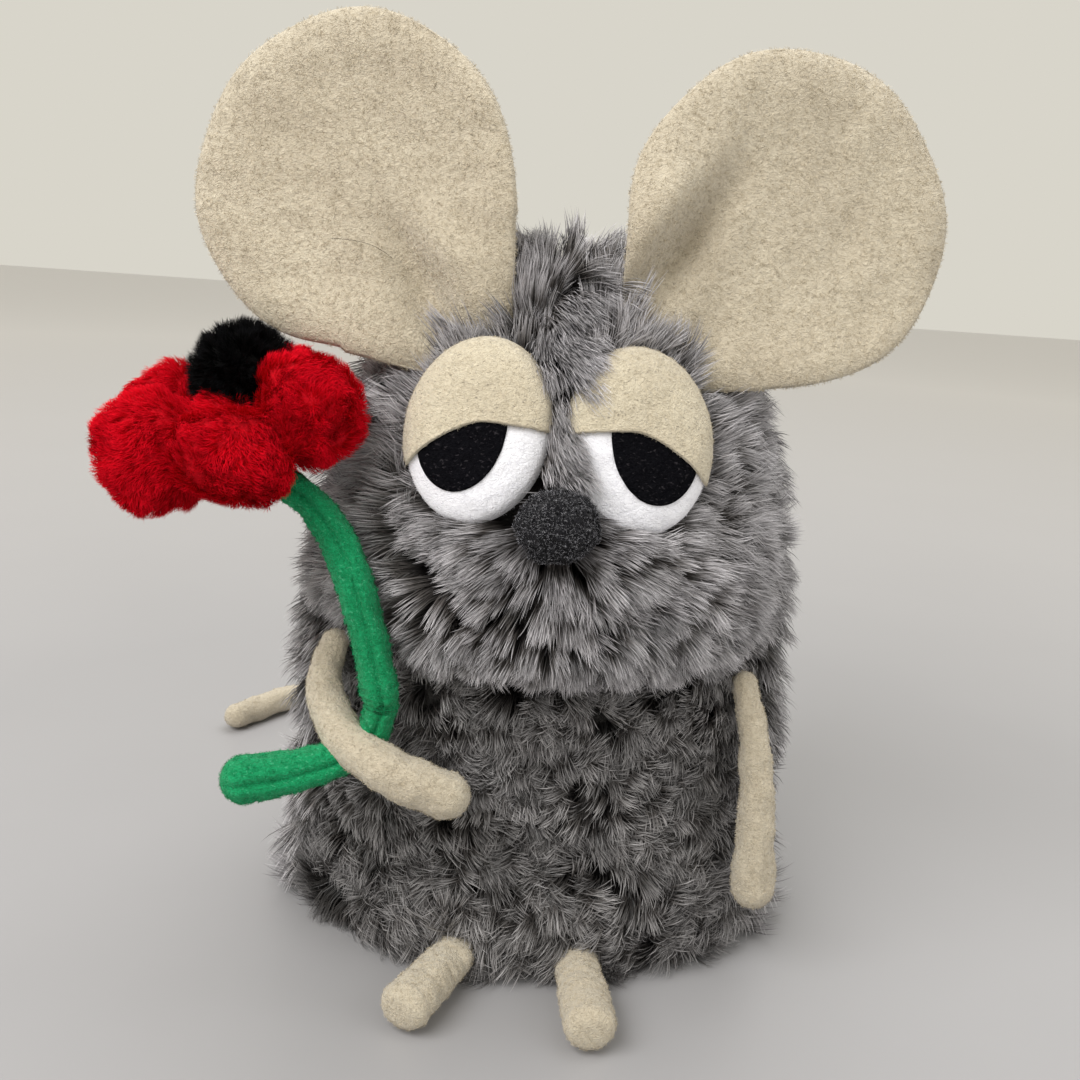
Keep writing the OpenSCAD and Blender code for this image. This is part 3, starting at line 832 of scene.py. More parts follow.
class Wardrobe:
    """Every finish of the toy, built once and kept by name."""

    def __init__(self) -> None:
        """Builds the shared groups and all materials."""
        felt, wear = felt_group(), wear_group()
        # Painted shade: each fur's first colour is its root colour, kept dark to stand in for shade
        # between the tufts.
        furs = [
            FurFinish("long_fur", (0.014, 0.012, 0.012), (0.096, 0.087, 0.083), (0.51, 0.495, 0.52),
                      0.40, low=0.3, high=1.7, gloss=0.55),
            FurFinish("curly_fur", (0.009, 0.008, 0.008), (0.046, 0.041, 0.039), (0.32, 0.31, 0.315),
                      0.42, low=0.25, high=1.75, gloss=0.45),
            FurFinish("red_pile", (0.42, 0.0002, 0.003), (0.56, 0.001, 0.009), (0.74, 0.008, 0.022),
                      0.8, low=0.85, high=1.15, gloss=0.03),
            FurFinish("black_pile", (0.001, 0.001, 0.001), (0.003, 0.003, 0.003),
                      (0.010, 0.010, 0.012), 0.8, gloss=0.06),
            FurFinish("nose_pile", (0.002, 0.002, 0.003), (0.012, 0.012, 0.015), (0.50, 0.50, 0.54),
                      0.8, low=0.0, high=2.4),
            FurFinish("cream_nap", (0.44, 0.38, 0.28), (0.60, 0.53, 0.41), (0.76, 0.70, 0.58), 0.8,
                      low=0.75, high=1.25, gloss=0.05),
            FurFinish("green_nap", (0.005, 0.16, 0.05), (0.012, 0.33, 0.13), (0.03, 0.42, 0.19),
                      0.8, low=0.7, high=1.3, gloss=0.04),
            FurFinish("white_nap", (0.74, 0.74, 0.80), (0.86, 0.86, 0.92), (0.93, 0.93, 0.97),
                      0.8, low=0.85, high=1.1, gloss=0.04),
        ]
        felts = [
            FeltFinish("cream_felt", (0.52, 0.45, 0.335), (0.68, 0.61, 0.475), (0.16, 0.125, 0.095),
                       (0.44, 0.37, 0.27), flecks=0.4),
            FeltFinish("lid_felt", (0.56, 0.49, 0.36), (0.70, 0.63, 0.48), (0.12, 0.09, 0.07),
                       (0.46, 0.39, 0.28)),
            FeltFinish("white_felt", (0.84, 0.84, 0.90), (0.92, 0.92, 0.97), (0.25, 0.24, 0.24),
                       (0.76, 0.75, 0.78), 0.0003, flecks=0.2),
            FeltFinish("black_felt", (0.002, 0.002, 0.003), (0.007, 0.007, 0.009),
                       (0.10, 0.09, 0.10), (0.003, 0.003, 0.004), sheen=0.0, flecks=0.25, gloss=0.02),
            FeltFinish("nose_wool", (0.003, 0.003, 0.004), (0.024, 0.024, 0.030), (0.30, 0.30, 0.32),
                       (0.01, 0.01, 0.012), 0.0012, 0.05, 0.7),
            FeltFinish("green_felt", (0.005, 0.23, 0.08), (0.015, 0.40, 0.16), (0.10, 0.52, 0.28),
                       (0.005, 0.16, 0.055), 0.0006, 0.08, gloss=0.04),
            FeltFinish("red_backing", (0.50, 0.001, 0.008), (0.60, 0.002, 0.012),
                       (0.4, 0.001, 0.006), (0.44, 0.001, 0.007), sheen=0.0),
            FeltFinish("black_backing", (0.002, 0.002, 0.002), (0.006, 0.006, 0.006),
                       (0.01, 0.01, 0.01), (0.003, 0.003, 0.003), sheen=0.0),
            # Painted shade: the fur backing is near-black, darker than the fur, so the gaps between tufts
            # show shade.
            FeltFinish("fur_backing", (0.022, 0.020, 0.019), (0.05, 0.046, 0.044),
                       (0.09, 0.085, 0.08), (0.016, 0.015, 0.014), sheen=0.1),
            FeltFinish("filling", (0.72, 0.72, 0.70), (0.88, 0.88, 0.86), (0.6, 0.6, 0.58),
                       (0.68, 0.68, 0.66), 0.0012),
        ]
        hards = [
            HardFinish("case_plastic", (0.80, 0.80, 0.77), (0.70, 0.69, 0.65), 0, (0.28, 0.45)),
            HardFinish("grommet_plastic", (0.05, 0.05, 0.05), (0.09, 0.088, 0.085), 0, (0.42, 0.62)),
            HardFinish("fly_plastic", (0.85, 0.85, 0.85), (0.74, 0.74, 0.72), 0, (0.4, 0.55)),
            HardFinish("plate_brass", (0.78, 0.58, 0.27), (0.50, 0.35, 0.15), 1, (0.24, 0.46)),
            HardFinish("gear_brass", (0.84, 0.64, 0.31), (0.58, 0.41, 0.18), 1, (0.18, 0.38)),
            HardFinish("key_steel", (0.80, 0.80, 0.80), (0.56, 0.55, 0.53), 1, (0.12, 0.34)),
            HardFinish("arbor_steel", (0.62, 0.62, 0.63), (0.40, 0.40, 0.41), 1, (0.2, 0.42)),
            HardFinish("spring_steel", (0.30, 0.34, 0.42), (0.20, 0.22, 0.28), 1, (0.2, 0.4)),
        ]
        self.kept: dict[str, bpy.types.Material] = {f.name: f.build() for f in furs}
        self.kept |= {f.name: f.build(felt) for f in felts}
        self.kept |= {f.name: f.build(wear) for f in hards}

    def dress(self, piece: bpy.types.Object, finish: str) -> None:
        """Gives a piece one material.

        Args:
            piece: the object.
            finish: the material's name.
        """
        piece.data.materials.clear()
        piece.data.materials.append(self.kept[finish])


@dataclass
class Maker:
    """What every sub-assembly needs to finish its pieces."""

    wardrobe: Wardrobe
    rng: np.random.Generator

    def finish(self, piece: bpy.types.Object, finish: str, slot: str, body: str,
               nodes: tuple[str, ...] = (), fill: float | None = None) -> bpy.types.Object:
        """Dresses and attaches a piece, and hides the CAD nodes that it stands for.

        Args:
            piece: the object.
            finish: its material.
            slot: the record's material slot; not used.
            body: the CAD body it rides on, or nothing if it is blended.
            nodes: CAD nodes that it stands for.
            fill: how full a padded piece is; not used.

        Returns:
            The same object.
        """
        self.wardrobe.dress(piece, finish)
        if body:
            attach(piece, body)
        if nodes:
            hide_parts(*nodes)
        LOG.info("%s: %d faces", piece.name, len(piece.data.polygons))
        return piece

    def nap(self, piece: bpy.types.Object, name: str, finish: str, slot: str, body: str,
            count: int, length: float, width: float, lean: float) -> bpy.types.Object:
        """Grows the fine short nap of a felt piece.

        Args:
            piece: the felt piece, finished.
            name: the nap's name.
            finish: its material.
            slot: the record's material slot.
            body: the CAD body it rides on.
            count: number of small tufts.
            length: of a fibre.
            width: of a fibre.
            lean: angle from upright at the tip.

        Returns:
            The nap's object.
        """
        roots, normals = scatter(piece, count, self.rng)
        lay = self.rng.normal(size=roots.shape)
        pile = Pile(length, width, 3, (0.5, 0.5), 30, lean, 0.1, 0.25, 0.8, 3)
        fuzz = Fleece(pile, len(name), floor=0.15).grow(name, roots, normals, lay)
        return self.finish(fuzz, finish, slot, body)


# ---------------------------------------------------------------- the stuffed body


@dataclass
class BodyShape:
    """Outer shape of the stuffed body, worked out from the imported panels.

    Attributes:
        belly_z: height where the body is widest.
        base_dip: how far the rounding would go on below the base.
        muzzle_out: how far the muzzle stands out of the face.
        muzzle_z: height of the middle of the muzzle.
        muzzle_spread: how far the muzzle fades above and below.
        chin_z: height of the face panel's lower edge.
        side_seam: how far forward the seam of the back panel lies.
        smile_z: height of the smile's lowest point.
        smile_rise: how far the smile has risen at smile_half from its middle.
        smile_half: see smile_rise.
        nose_tip: where the brushed pile of the face parts.
        half_w: half width at the belly.
        half_d: half depth at the belly.
        height: height of the crown.
    """

    belly_z: float = 55.0
    base_dip: float = 16.0
    muzzle_out: float = 14.0
    muzzle_z: float = 118.0
    muzzle_spread: float = 36.0
    chin_z: float = 92.5
    side_seam: float = -18.0
    smile_z: float = 107.5
    smile_rise: float = 13.0
    smile_half: float = 30.0
    nose_tip: tuple[float, float, float] = (0.5, -62.0, 131.0)
    half_w: float = field(init=False)
    half_d: float = field(init=False)
    height: float = field(init=False)

    def __post_init__(self) -> None:
        """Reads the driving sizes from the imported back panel."""
        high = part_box("back_panel")[1]
        self.half_w, self.half_d, self.height = high[0] / MM, high[1] / MM, high[2] / MM

    def smile(self, x: Array) -> Array:
        """Height of the smile across the face.

        Args:
            x: across the face.

        Returns:
            Heights in millimetres.
        """
        return self.smile_z + self.smile_rise * (x / self.smile_half) ** 2

    def share(self, z: Array, top: Array | float) -> Array:
        """Share of the full width at a height.

        Args:
            z: heights.
            top: height of the crown.

        Returns:
            Values from 0 to 1.
        """
        up = np.clip((z - self.belly_z) / (top - self.belly_z), 0, 1)
        down = np.clip((self.belly_z - z) / (self.belly_z + self.base_dip), 0, 1)
        return np.where(z > self.belly_z, (1 - up**2) ** (1 / 3), (1 - down**3) ** 0.4)

    def point(self, angle: Array, climb: Array, inset: float | Array) -> Array:
        """Point on the body.

        Args:
            angle: round the body, 270 degrees being the front, in radians.
            climb: 0 at the base, 1 at the crown.
            inset: how far inside the outer surface.

        Returns:
            Points, in millimetres.
        """
        top = self.height - inset
        low = 2.5
        z = np.where(climb < 0.3, low + (self.belly_z - low) * climb / 0.3,
                     self.belly_z + (top - self.belly_z) * np.sin((climb - 0.3) / 0.7 * math.pi / 2))
        k = self.share(z, top)
        front = np.maximum(0, -np.sin(angle))
        ahead = self.muzzle_out * bump(z, self.muzzle_z, self.muzzle_spread) * front**2
        over = 1 / (1 + np.exp(-(z - self.chin_z) / 0.9))
        ahead = ahead * over + 1.5 * front * over
        x = (self.half_w - inset) * k * np.cos(angle)
        groove = 5.5 * bump(z, self.smile(x), 2.6) * (front > 0.4) * bump(x, 0, 34)
        y = ((self.half_d - inset) * k + ahead - groove) * np.sin(angle)
        return np.stack(np.broadcast_arrays(x, y, z), -1)


@dataclass
class StuffedBody(Maker):
    """Fur panels round the filling: backing cloth, pile and base.

    Attributes:
        shape: the outer shape.
        rounds: points round the backing.
        climbs: rings of the backing.
        pile_depth: how far the backing lies inside the outer shape.
        foot_out: how far the backing swells out near the base.
        base_sides: points round the base cloth.
        tufts: tufts scattered over the backing.
        back_share: share of them kept on the back, where the fibres are thicker.
    """

    shape: BodyShape = field(default_factory=BodyShape)
    rounds: int = 132
    climbs: int = 110
    pile_depth: float = 7.0
    foot_out: float = 8.5
    base_sides: int = 96
    tufts: int = 11800
    back_share: float = 0.41

    def build(self, keep_out: list[Callable[[Array], Array]]) -> None:
        """Builds the backing, the pile and the insides.

        Args:
            keep_out: tests that say which points no fibre may enter.
        """
        backing = self._backing()
        self._base()
        self._filling()
        self._pile(backing, keep_out)

    def _backing(self) -> bpy.types.Object:
        """Cloth that the pile grows from, near-black as painted shade in the gaps between tufts.

        Returns:
            The closed backing mesh.
        """
        angle = np.arange(self.rounds) * 2 * math.pi / self.rounds
        climb = np.linspace(0, 0.985, self.climbs)
        low = self.foot_out * bump(climb, 0.03, 0.1)
        grid = self.shape.point(angle[None], climb[:, None], self.pile_depth - low[:, None])
        flat = grid.reshape(-1, 3)
        lumps = ripple(flat, 34, 5) * 0.9 + ripple(flat, 13, 6) * 0.35
        centre = np.array([0, 0, 90.0])
        flat = flat + unit(flat - centre) * (lumps * np.clip((flat[:, 2] - 6) / 20, 0, 1))[:, None]
        piece = mesh_from("body_backing", flat, grid_faces(self.climbs, self.rounds))
        return self.finish(piece, "fur_backing", "long_fur", "body",
                           ("face_panel", "tummy_panel", "back_panel"), 0.9)

    def _base(self) -> None:
        """Flat cloth base with a rolled edge."""
        half = np.array(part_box("base_panel")[1][:2]) / MM
        a = np.arange(self.base_sides) * 2 * math.pi / self.base_sides
        rings = []
        for share_in, z in ((0.35, 0.0), (0.9, 0.0), (0.965, 0.25), (0.995, 1.0), (1.0, 1.6),
                            (0.985, 2.3), (0.93, 2.5), (0.35, 2.5)):
            rings.append(np.stack([half[0] * share_in * np.cos(a), half[1] * share_in * np.sin(a),
                                   np.full(self.base_sides, z)], -1))
        piece = mesh_from("base_cloth", np.concatenate(rings),
                          grid_faces(len(rings), self.base_sides))
        self.finish(piece, "fur_backing", "long_fur", "body", ("base_panel",), 0.5)

    def _filling(self) -> None:
        """Fibre filling and the bag of pellets, as lumpy closed forms."""
        for node, slot, seed, lump in (("head_stuffing", "stuffing", 21, 1.3),
                                       ("body_stuffing", "stuffing", 22, 1.3),
                                       ("pellet_bag", "pellets", 23, 0.7)):
            source = frame["nodes"][node]
            piece = bpy.data.objects.new(node.replace("stuffing", "filling") + "_cloth",
                                         source.data.copy())
            bpy.context.collection.objects.link(piece)
            piece.data.transform(source.matrix_world)
            select_only(piece)
            for kind, settings in (("WELD", {"merge_threshold": 1e-5}),
                                   ("REMESH", {"mode": "VOXEL", "voxel_size": 0.0024})):
                modifier = piece.modifiers.new(kind.lower(), kind)
                for key, value in settings.items():
                    setattr(modifier, key, value)
                bpy.ops.object.modifier_apply(modifier=modifier.name)
            co, no = vertex_arrays(piece)
            push = -4.4 + lump * 0.5 * (ripple(co, 14, seed) + 0.5 * ripple(co, 6, seed + 9))
            piece.data.polygons.foreach_set("use_smooth", [True] * len(piece.data.polygons))
            set_vertices(piece, co + no * push[:, None])
            self.finish(piece, "filling", slot, "body", (node,), 0.7)

    def _lay(self, p: Array) -> Array:
        """Which way the brushed pile lies on the face.

        Args:
            p: points on the face.

        Returns:
            Directions, not yet square to the surface.
        """
        nose = np.array(self.shape.nose_tip)
        away = unit(p - nose)
        away[:, 2] -= 0.25 * (p[:, 2] < nose[2])
        away[:, 0] += 0.02 * np.sign(p[:, 0])
        return away

    def _fall(self, roots: Array) -> Array:
        """Which way the pile falls on the tummy and the lower back.

        Args:
            roots: tuft centres.

        Returns:
            Directions down the body, splaying out near the base.
        """
        out = unit(roots * np.array([1, 1, 0.0]) + 1e-6)
        low = np.clip((18 - roots[:, 2]) / 14, 0, 1)[:, None]
        down = np.tile([0.0, 0.0, -1.0], (len(roots), 1))
        return down * (1 - 0.6 * low) + out * 0.8 * low + out * 0.2

    def _length(self, roots: Array, tummy: Array, face: Array, muzzle: Array) -> Array:
        """Length factor of each tuft: shorter over the chin and smile, longer near the base.

        Args:
            roots: tuft centres.
            tummy: which tufts are on the tummy.
            face: which tufts are on the face round the muzzle.
            muzzle: which tufts are on the muzzle.

        Returns:
            One factor for each tuft.
        """
        x, _, z = roots.T
        length = 1 - 0.42 * (face | muzzle) * np.clip((108 - z) / 12, 0, 1)
        above = z - self.shape.smile(x)
        length = length - 0.34 * muzzle * bump(above, 8, 6) * bump(x, -22, 15)
        length = np.where(tummy, length * (1 + 0.16 * ripple(roots, 15, 48)), length)
        length = length + 0.45 * tummy * np.clip((48 - z) / 30, 0, 1)
        return length + 0.35 * (z < self.shape.chin_z) * np.clip((22 - z) / 18, 0, 1)

    def _pile(self, backing: bpy.types.Object, keep_out: list[Callable[[Array], Array]]) -> None:
        """Grows the pile of every panel.

        Args:
            backing: the cloth.
            keep_out: tests for points that no fibre may enter.
        """
        shape, rng = self.shape, np.random.default_rng(41)
        share = 1.0
        roots, normals = scatter(backing, int(self.tufts * share), rng)
        x, y, z = roots.T
        front = y < shape.side_seam
        keep = (z > 2.9) & (front | (rng.random(len(roots)) < self.back_share))
        keep &= ~((abs(z - shape.smile(x)) < 4.0) & (abs(x + 10) < 24) & front)
        roots, normals, front = roots[keep], normals[keep], front[keep]
        x, y, z = roots.T
        tone = 0.09 * ripple(roots, 26, 3) + 0.06 * ripple(roots, 9, 4)
        tone += 0.10 * np.clip((38 - z) / 25, 0, 1) - 0.05 * (y > -20)
        tummy = front & (z < shape.chin_z)
        from_nose = np.linalg.norm(roots - np.array(shape.nose_tip), axis=1)
        muzzle = front & ~tummy & (from_nose < 37) & (z < 136)
        face = front & ~tummy & ~muzzle
        lock = face & (abs(x - 0.5) < 5.5) & (z > 140) & (z < 184)
        length = self._length(roots, tummy, face, muzzle)
        lay, down = self._lay(roots), self._fall(roots)
        swirl = np.stack([ripple(roots, 24, seed) for seed in (45, 46, 47)], -1)
        forward = lay * 0.4 + np.array([0.42, -0.5, -1.0])
        out = unit(roots * np.array([1, 1, 0.0]) + 1e-6)
        crown = np.clip((z - 168) / 20, 0, 1)[:, None]
        back_lay = down * (1 - crown) + (out + np.array([0, 0.5, 0.2])) * crown
        grown = (
            ("lock", lock, forward, "long_fur",
             Pile(20.0, 0.27, 66, (2.2, 1.8), 6, 68, 0.08, 0.03, 0.22, 4, 6, 0.14)),
            ("face", face & ~lock, lay, "long_fur",
             Pile(18.5, 0.27, 44, (2.2, 1.4), 26, 74, 0.10, 0.035, 0.42, 4, 9, 0.15)),
            ("muzzle", muzzle, lay, "long_fur",
             Pile(17.0, 0.27, 44, (1.9, 1.3), 22, 68, 0.06, 0.03, 0.27, 4, 8, 0.14)),
            ("tummy", tummy, down + 1.5 * swirl, "curly_fur",
             Pile(10.5, 0.29, 30, (2.2, 1.4), 18, 100, 0.15, 0.07, 0.55, 4, 12, 0.17)),
            ("back", ~front, back_lay, "long_fur",
             Pile(17.0, 0.36, 25, (2.5, 1.6), 26, 74, 0.12, 0.04, 0.42, 4, 9, 0.15)),
        )
        for name, where, way, finish, pile in grown:
            order = np.nonzero(where)[0]
            order = order[np.argsort(np.arctan2(x[order], -y[order]))]
            parts = math.ceil(len(order) * pile.per_tuft / FIBRES_PER_PIECE)
            for number, group in enumerate(np.array_split(order, parts)):
                fleece = Fleece(pile, 50 + number, keep_out)
                piece = fleece.grow(f"fur_{name}_{number + 1}", roots[group], normals[group],
                                    way[group], length[group], tone[group])
                self.finish(piece, finish, finish, "body")


# ---------------------------------------------------------------- ears, eyes and nose


@dataclass
class Ear(Maker):
    """One large felt ear: two layers, thin wadding, a rim seam and a folded root.

    Attributes:
        side: which ear.
        radius: of the round part.
        root_w: width of the sewn root.
        thick: thickness in the middle.
        lean: degrees that it leans outwards.
        tilt: degrees that it tips back.
        around: points round the outline.
        rings: rings from the middle to the rim.
    """

    side: Side = Side.RIGHT
    radius: float = 41.6
    root_w: float = 28.0
    thick: float = 7.4
    lean: float = 41.0
    tilt: float = 8.0
    around: int = 160
    rings: int = 46

    @property
    def neck(self) -> float:
        """Length from the root to the middle of the round part, a little less on the left."""
        return 49.2 if self.side is Side.RIGHT else 46.0

    def frame(self) -> tuple[Array, Array]:
        """Where the ear's root is, and how the ear is turned.

        Returns:
            The rotation and the root point.
        """
        s = self.side.value
        root = np.array([24.0 * s, -30.0, 171.0])
        return turn(y=s * self.lean) @ turn(x=-self.tilt), root

    def outline(self, angle: Array) -> Array:
        """Distance from the middle of the round part to the rim.

        Args:
            angle: direction in the ear's plane, in radians.

        Returns:
            Distances in millimetres.
        """
        half = self.root_w / 2
        reach = math.hypot(half, self.neck)
        down = -math.pi / 2
        spread = math.atan2(half, self.neck)
        touch = spread + math.acos(self.radius / reach)
        off = np.abs((angle - down + math.pi) % (2 * math.pi) - math.pi)
        line = self.radius / np.maximum(np.cos(touch - off), 0.2)
        bottom = (self.neck + 2.0) / np.maximum(np.cos(off), 0.05)
        r = np.where(off < touch, np.minimum(line, bottom), self.radius)
        wobble = 0.6 * np.sin(3 * angle + 1.2 * self.side.value) + 0.35 * np.sin(7 * angle + 2)
        return r + wobble * (off > touch * 0.8)

    def bend(self, x: Array, z: Array) -> Array:
        """How far the ear's middle layer bends back or forward.

        Args:
            x: across the ear.
            z: up the ear from its root.

        Returns:
            Offsets along the ear's own Y, which points back.
        """
        cup = 3.4 * (x / 42) ** 2 - 2.0 * bump(z, 52, 30)
        narrow = 0.8 * bump(z, 4, 26) * (np.abs(x) / 14) ** 2
        if self.side is Side.RIGHT:
            fold = 6.5 * bump(x + 1.0 - 0.18 * (z - 24), 0.0, 5.5) * bump(z, 16, 18)
            fold -= 2.6 * bump(x - 9.0, 0.0, 6.0) * bump(z, 18, 16)
            fold -= 2.4 * bump(x, 40, 9) * bump(z, 52, 30)
        else:
            fold = 7.5 * bump(x + 11.5 + 0.12 * z, 0.0, 5.0) * bump(z, 22, 18)
            fold -= 5.0 * bump(x, -25, 7) * bump(z, 26, 18)
            fold += 2.5 * bump(x - 4, 0.0, 6.0) * bump(z, 6, 11)
        return fold - cup - narrow

    def build(self) -> None:
        """Builds the ear and its nap."""
        rot, root = self.frame()
        angle = np.arange(self.around) * 2 * math.pi / self.around
        inside = np.sin(np.linspace(0.02, 1, self.rings) * math.pi / 2)
        layers = []
        for face in (-1, 1):
            share = inside if face < 0 else inside[:-1][::-1]
            r = self.outline(angle)[None] * share[:, None]
            x = r * np.cos(angle)
            z = self.neck + r * np.sin(angle)
            puff = self.thick / 2 * (1 - share**9) ** 0.5
            puff = puff * (0.74 + 0.26 * bump(share, 0.86, 0.2))
            flat = np.stack([x, np.zeros_like(x), z], -1)
            lump = 0.42 * ripple(flat.reshape(-1, 3) + 50 * face, 19, 11).reshape(x.shape)
            pucker = 0.10 * np.sin(angle * 61)[None] * bump(share, 0.985, 0.03)[:, None]
            y = self.bend(x, z) + face * (puff[:, None] + (lump + pucker) * (share < 0.99)[:, None])
            layers.append(np.stack([x, y, z], -1))
        grid = np.concatenate(layers)
        world = grid.reshape(-1, 3) @ rot.T + root
        node = f"ear_{self.side.word}"
        piece = mesh_from(node + "_felt", world, grid_faces(len(grid), self.around))
        self.finish(piece, "cream_felt", "cream_felt", node, (node,), 0.25)
        self.nap(piece, node + "_nap", "cream_nap", "cream_felt", node, 11500, 1.0, 0.09, 66)
        if self.side is Side.RIGHT:
            self._stray_hair(rot, root, node)

    def _stray_hair(self, rot: Array, root: Array, node: str) -> None:
        """One long dark hair caught on the felt.

        Args:
            rot: the ear's rotation.
            root: the ear's root.
            node: the ear's body.
        """
        t = np.linspace(0, 1, 14)
        x = -13 + 9 * t + 2 * np.sin(3 * t)
        z = 42 - 13 * t
        y = self.bend(x, z) - self.thick / 2 - 0.35
        path = np.stack([x, y, z], -1) @ rot.T + root
        rows = [(*p, 0.06) for p in path]
        tube = Tube(rows, 2, 6)
        points, _, along, _ = tube.grid()
        piece = mesh_from("stray_hair", points, grid_faces(len(along), 6))
        self.finish(piece, "black_felt", "cream_felt", node)

    def inside(self, p: Array) -> Array:
        """Which points lie in the ear's cloth near the root.

        Args:
            p: points to test.

        Returns:
            True for each point inside.
        """
        rot, root = self.frame()
        q = (p - root) @ rot
        flat = np.stack([q[:, 0], q[:, 2] - self.neck], -1)
        r = np.linalg.norm(flat, axis=1)
        rim = self.outline(np.arctan2(flat[:, 1], flat[:, 0]))
        return (r < rim + 0.2) & (np.abs(q[:, 1] - self.bend(q[:, 0], q[:, 2])) < self.thick / 2 + 0.4)


@dataclass
class Eye(Maker):
    """One heavy-lidded eye of three domed felt pieces.

    Attributes:
        side: which eye.
        half_w: half width of the white.
        half_h: half height of the white.
        dome: how far its middle stands out.
        out: degrees that it turns outwards.
        back: degrees that it leans back.
        pupil_w: half width of the pupil.
        pupil_h: half height of the pupil.
    """

    side: Side = Side.RIGHT
    half_w: float = 18.4
    half_h: float = 23.2
    dome: float = 6.2
    out: float = 15.0
    back: float = 22.0
    pupil_w: float = 11.6
    pupil_h: float = 15.6

    def frame(self) -> tuple[Array, Array]:
        """Where the eye sits and how it is turned.

        Returns:
            The rotation, whose columns are across, up and out, and the centre.
        """
        s = self.side.value
        low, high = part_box(f"eye_white_{self.side.word}")
        centre = np.array([19.8 * s - 0.2, -48.0, (low[2] + high[2]) / 2 / MM])
        rot = turn(z=self.out * s) @ turn(x=90 - self.back)
        return rot, centre

    def lid_edge(self, x: Array) -> Array:
        """Height of the lid's edge across the eye, drooping towards the outside.

        Args:
            x: across the eye in its own frame.

        Returns:
            Heights above the eye's centre.
        """
        outward = x * self.side.value
        return 0.9 - 14.5 * (np.maximum(0, outward + 3.5) / 22) ** 1.5

    def height(self, x: Array, y: Array, grow: float = 0.0) -> Array:
        """Height of the dome over the face.

        Args:
            x: across the eye.
            y: up the eye.
            grow: how much larger the outline is.

        Returns:
            Heights in millimetres.
        """
        r2 = (x / (self.half_w + grow)) ** 2 + (y / (self.half_h + grow)) ** 2
        return self.dome * np.maximum(0, 1 - r2**1.6) ** 0.55

    def _dome(self, name: str, edge: Array, lift: float, thick: float,
              inner: int = 26) -> bpy.types.Object:
        """A felt piece that follows the dome.

        Args:
            name: the piece's name.
            edge: outline points in the eye's plane.
            lift: height of the piece's upper face over the dome.
            thick: thickness of the felt.
            inner: rings from the middle to the edge.

        Returns:
            The mesh object.
        """
        rot, centre = self.frame()
        middle = edge.mean(0)
        share = np.concatenate([np.linspace(0.03, 0.955, inner - 4), [0.975, 0.99, 0.998, 1.0]])
        rings = []
        for face in (1, 0):
            for s in share if face else share[::-1]:
                flat = middle + (edge - middle) * s
                z = self.height(flat[:, 0], flat[:, 1], 0.3)
                roll = max(0.0, 1 - (max(0.0, s - 0.955) / 0.045) ** 2) ** 0.5
                z = z + lift - thick / 2 + (thick / 2 * roll if face else -thick / 2 * roll)
                rings.append(np.column_stack([flat, z]))
        grid = np.concatenate(rings)
        grid[:, 2] += 0.12 * ripple(grid, 6, 31) + 0.10 * ripple(grid, 2.6, 32)
        world = grid @ rot.T + centre
        return mesh_from(name, world, grid_faces(len(rings), len(edge)))

    def build(self) -> None:
        """Builds the white, the pupil and the lid."""
        word, s = self.side.word, self.side.value
        a = np.arange(120) * 2 * math.pi / 120
        rim = np.column_stack([self.half_w * np.cos(a), self.half_h * np.sin(a)])
        white = self._dome(f"eye_white_{word}_felt", rim, 0.0, 3.0)
        self.finish(white, "white_felt", "white_felt", "body", (f"eye_white_{word}",), 0.4)
        self.nap(white, f"eye_white_{word}_nap", "white_nap", "white_felt", "body", 2200, 0.5, 0.07, 75)
        x = self.pupil_w * np.cos(a) + s * 2.6
        y = self.pupil_h * np.sin(a) - 1.0
        top = self.lid_edge(x) + 1.2
        pupil_edge = np.column_stack([x, np.minimum(y, top)])
        pupil = self._dome(f"pupil_{word}_felt", pupil_edge, 0.75, 1.0)
        self.finish(pupil, "black_felt", "black_felt", "body", (f"pupil_{word}",), 0.1)
        rise = self._lid_outline(rim)
        lid = self._dome(f"eyelid_{word}_felt", rise, 1.75, 1.7)
        self.finish(lid, "lid_felt", "cream_felt", "body", (f"eyelid_{word}",), 0.2)
        self.nap(lid, f"eyelid_{word}_nap", "cream_nap", "cream_felt", "body", 1800, 0.6, 0.07, 74)

    def _lid_outline(self, rim: Array) -> Array:
        """Outline of the lid: the eye's upper rim, closed by the drooping edge.

        Args:
            rim: the eye's outline.

        Returns:
            Points of a closed outline, anticlockwise.
        """
        grown = rim * 1.03
        above = grown[:, 1] > self.lid_edge(grown[:, 0])
        start = int(np.argmax(above & ~np.roll(above, 1)))
        arc = np.roll(grown, -start, axis=0)[: int(above.sum())]
        t = np.linspace(0, 1, 34)[1:-1]
        x = arc[-1, 0] + (arc[0, 0] - arc[-1, 0]) * t
        return np.concatenate([arc, np.column_stack([x, self.lid_edge(x)])])

    def inside(self, p: Array) -> Array:
        """Which points lie over or in the eye.

        Args:
            p: points to test.

        Returns:
            True for each point inside.
        """
        rot, centre = self.frame()
        q = (p - centre) @ rot
        across = q[:, 0] * self.side.value
        fringe = 0.80 - 0.32 * np.clip((q[:, 1] + 1.5) / 5, 0, 1)
        inner = 0.97 if self.side is Side.RIGHT else fringe
        half = self.half_w * np.where(across < 0, inner, 0.97)
        r2 = (across / half) ** 2 + (q[:, 1] / (self.half_h * 0.97)) ** 2
        return (r2 < 1) & (q[:, 2] > -3.5) & (q[:, 2] < 16)


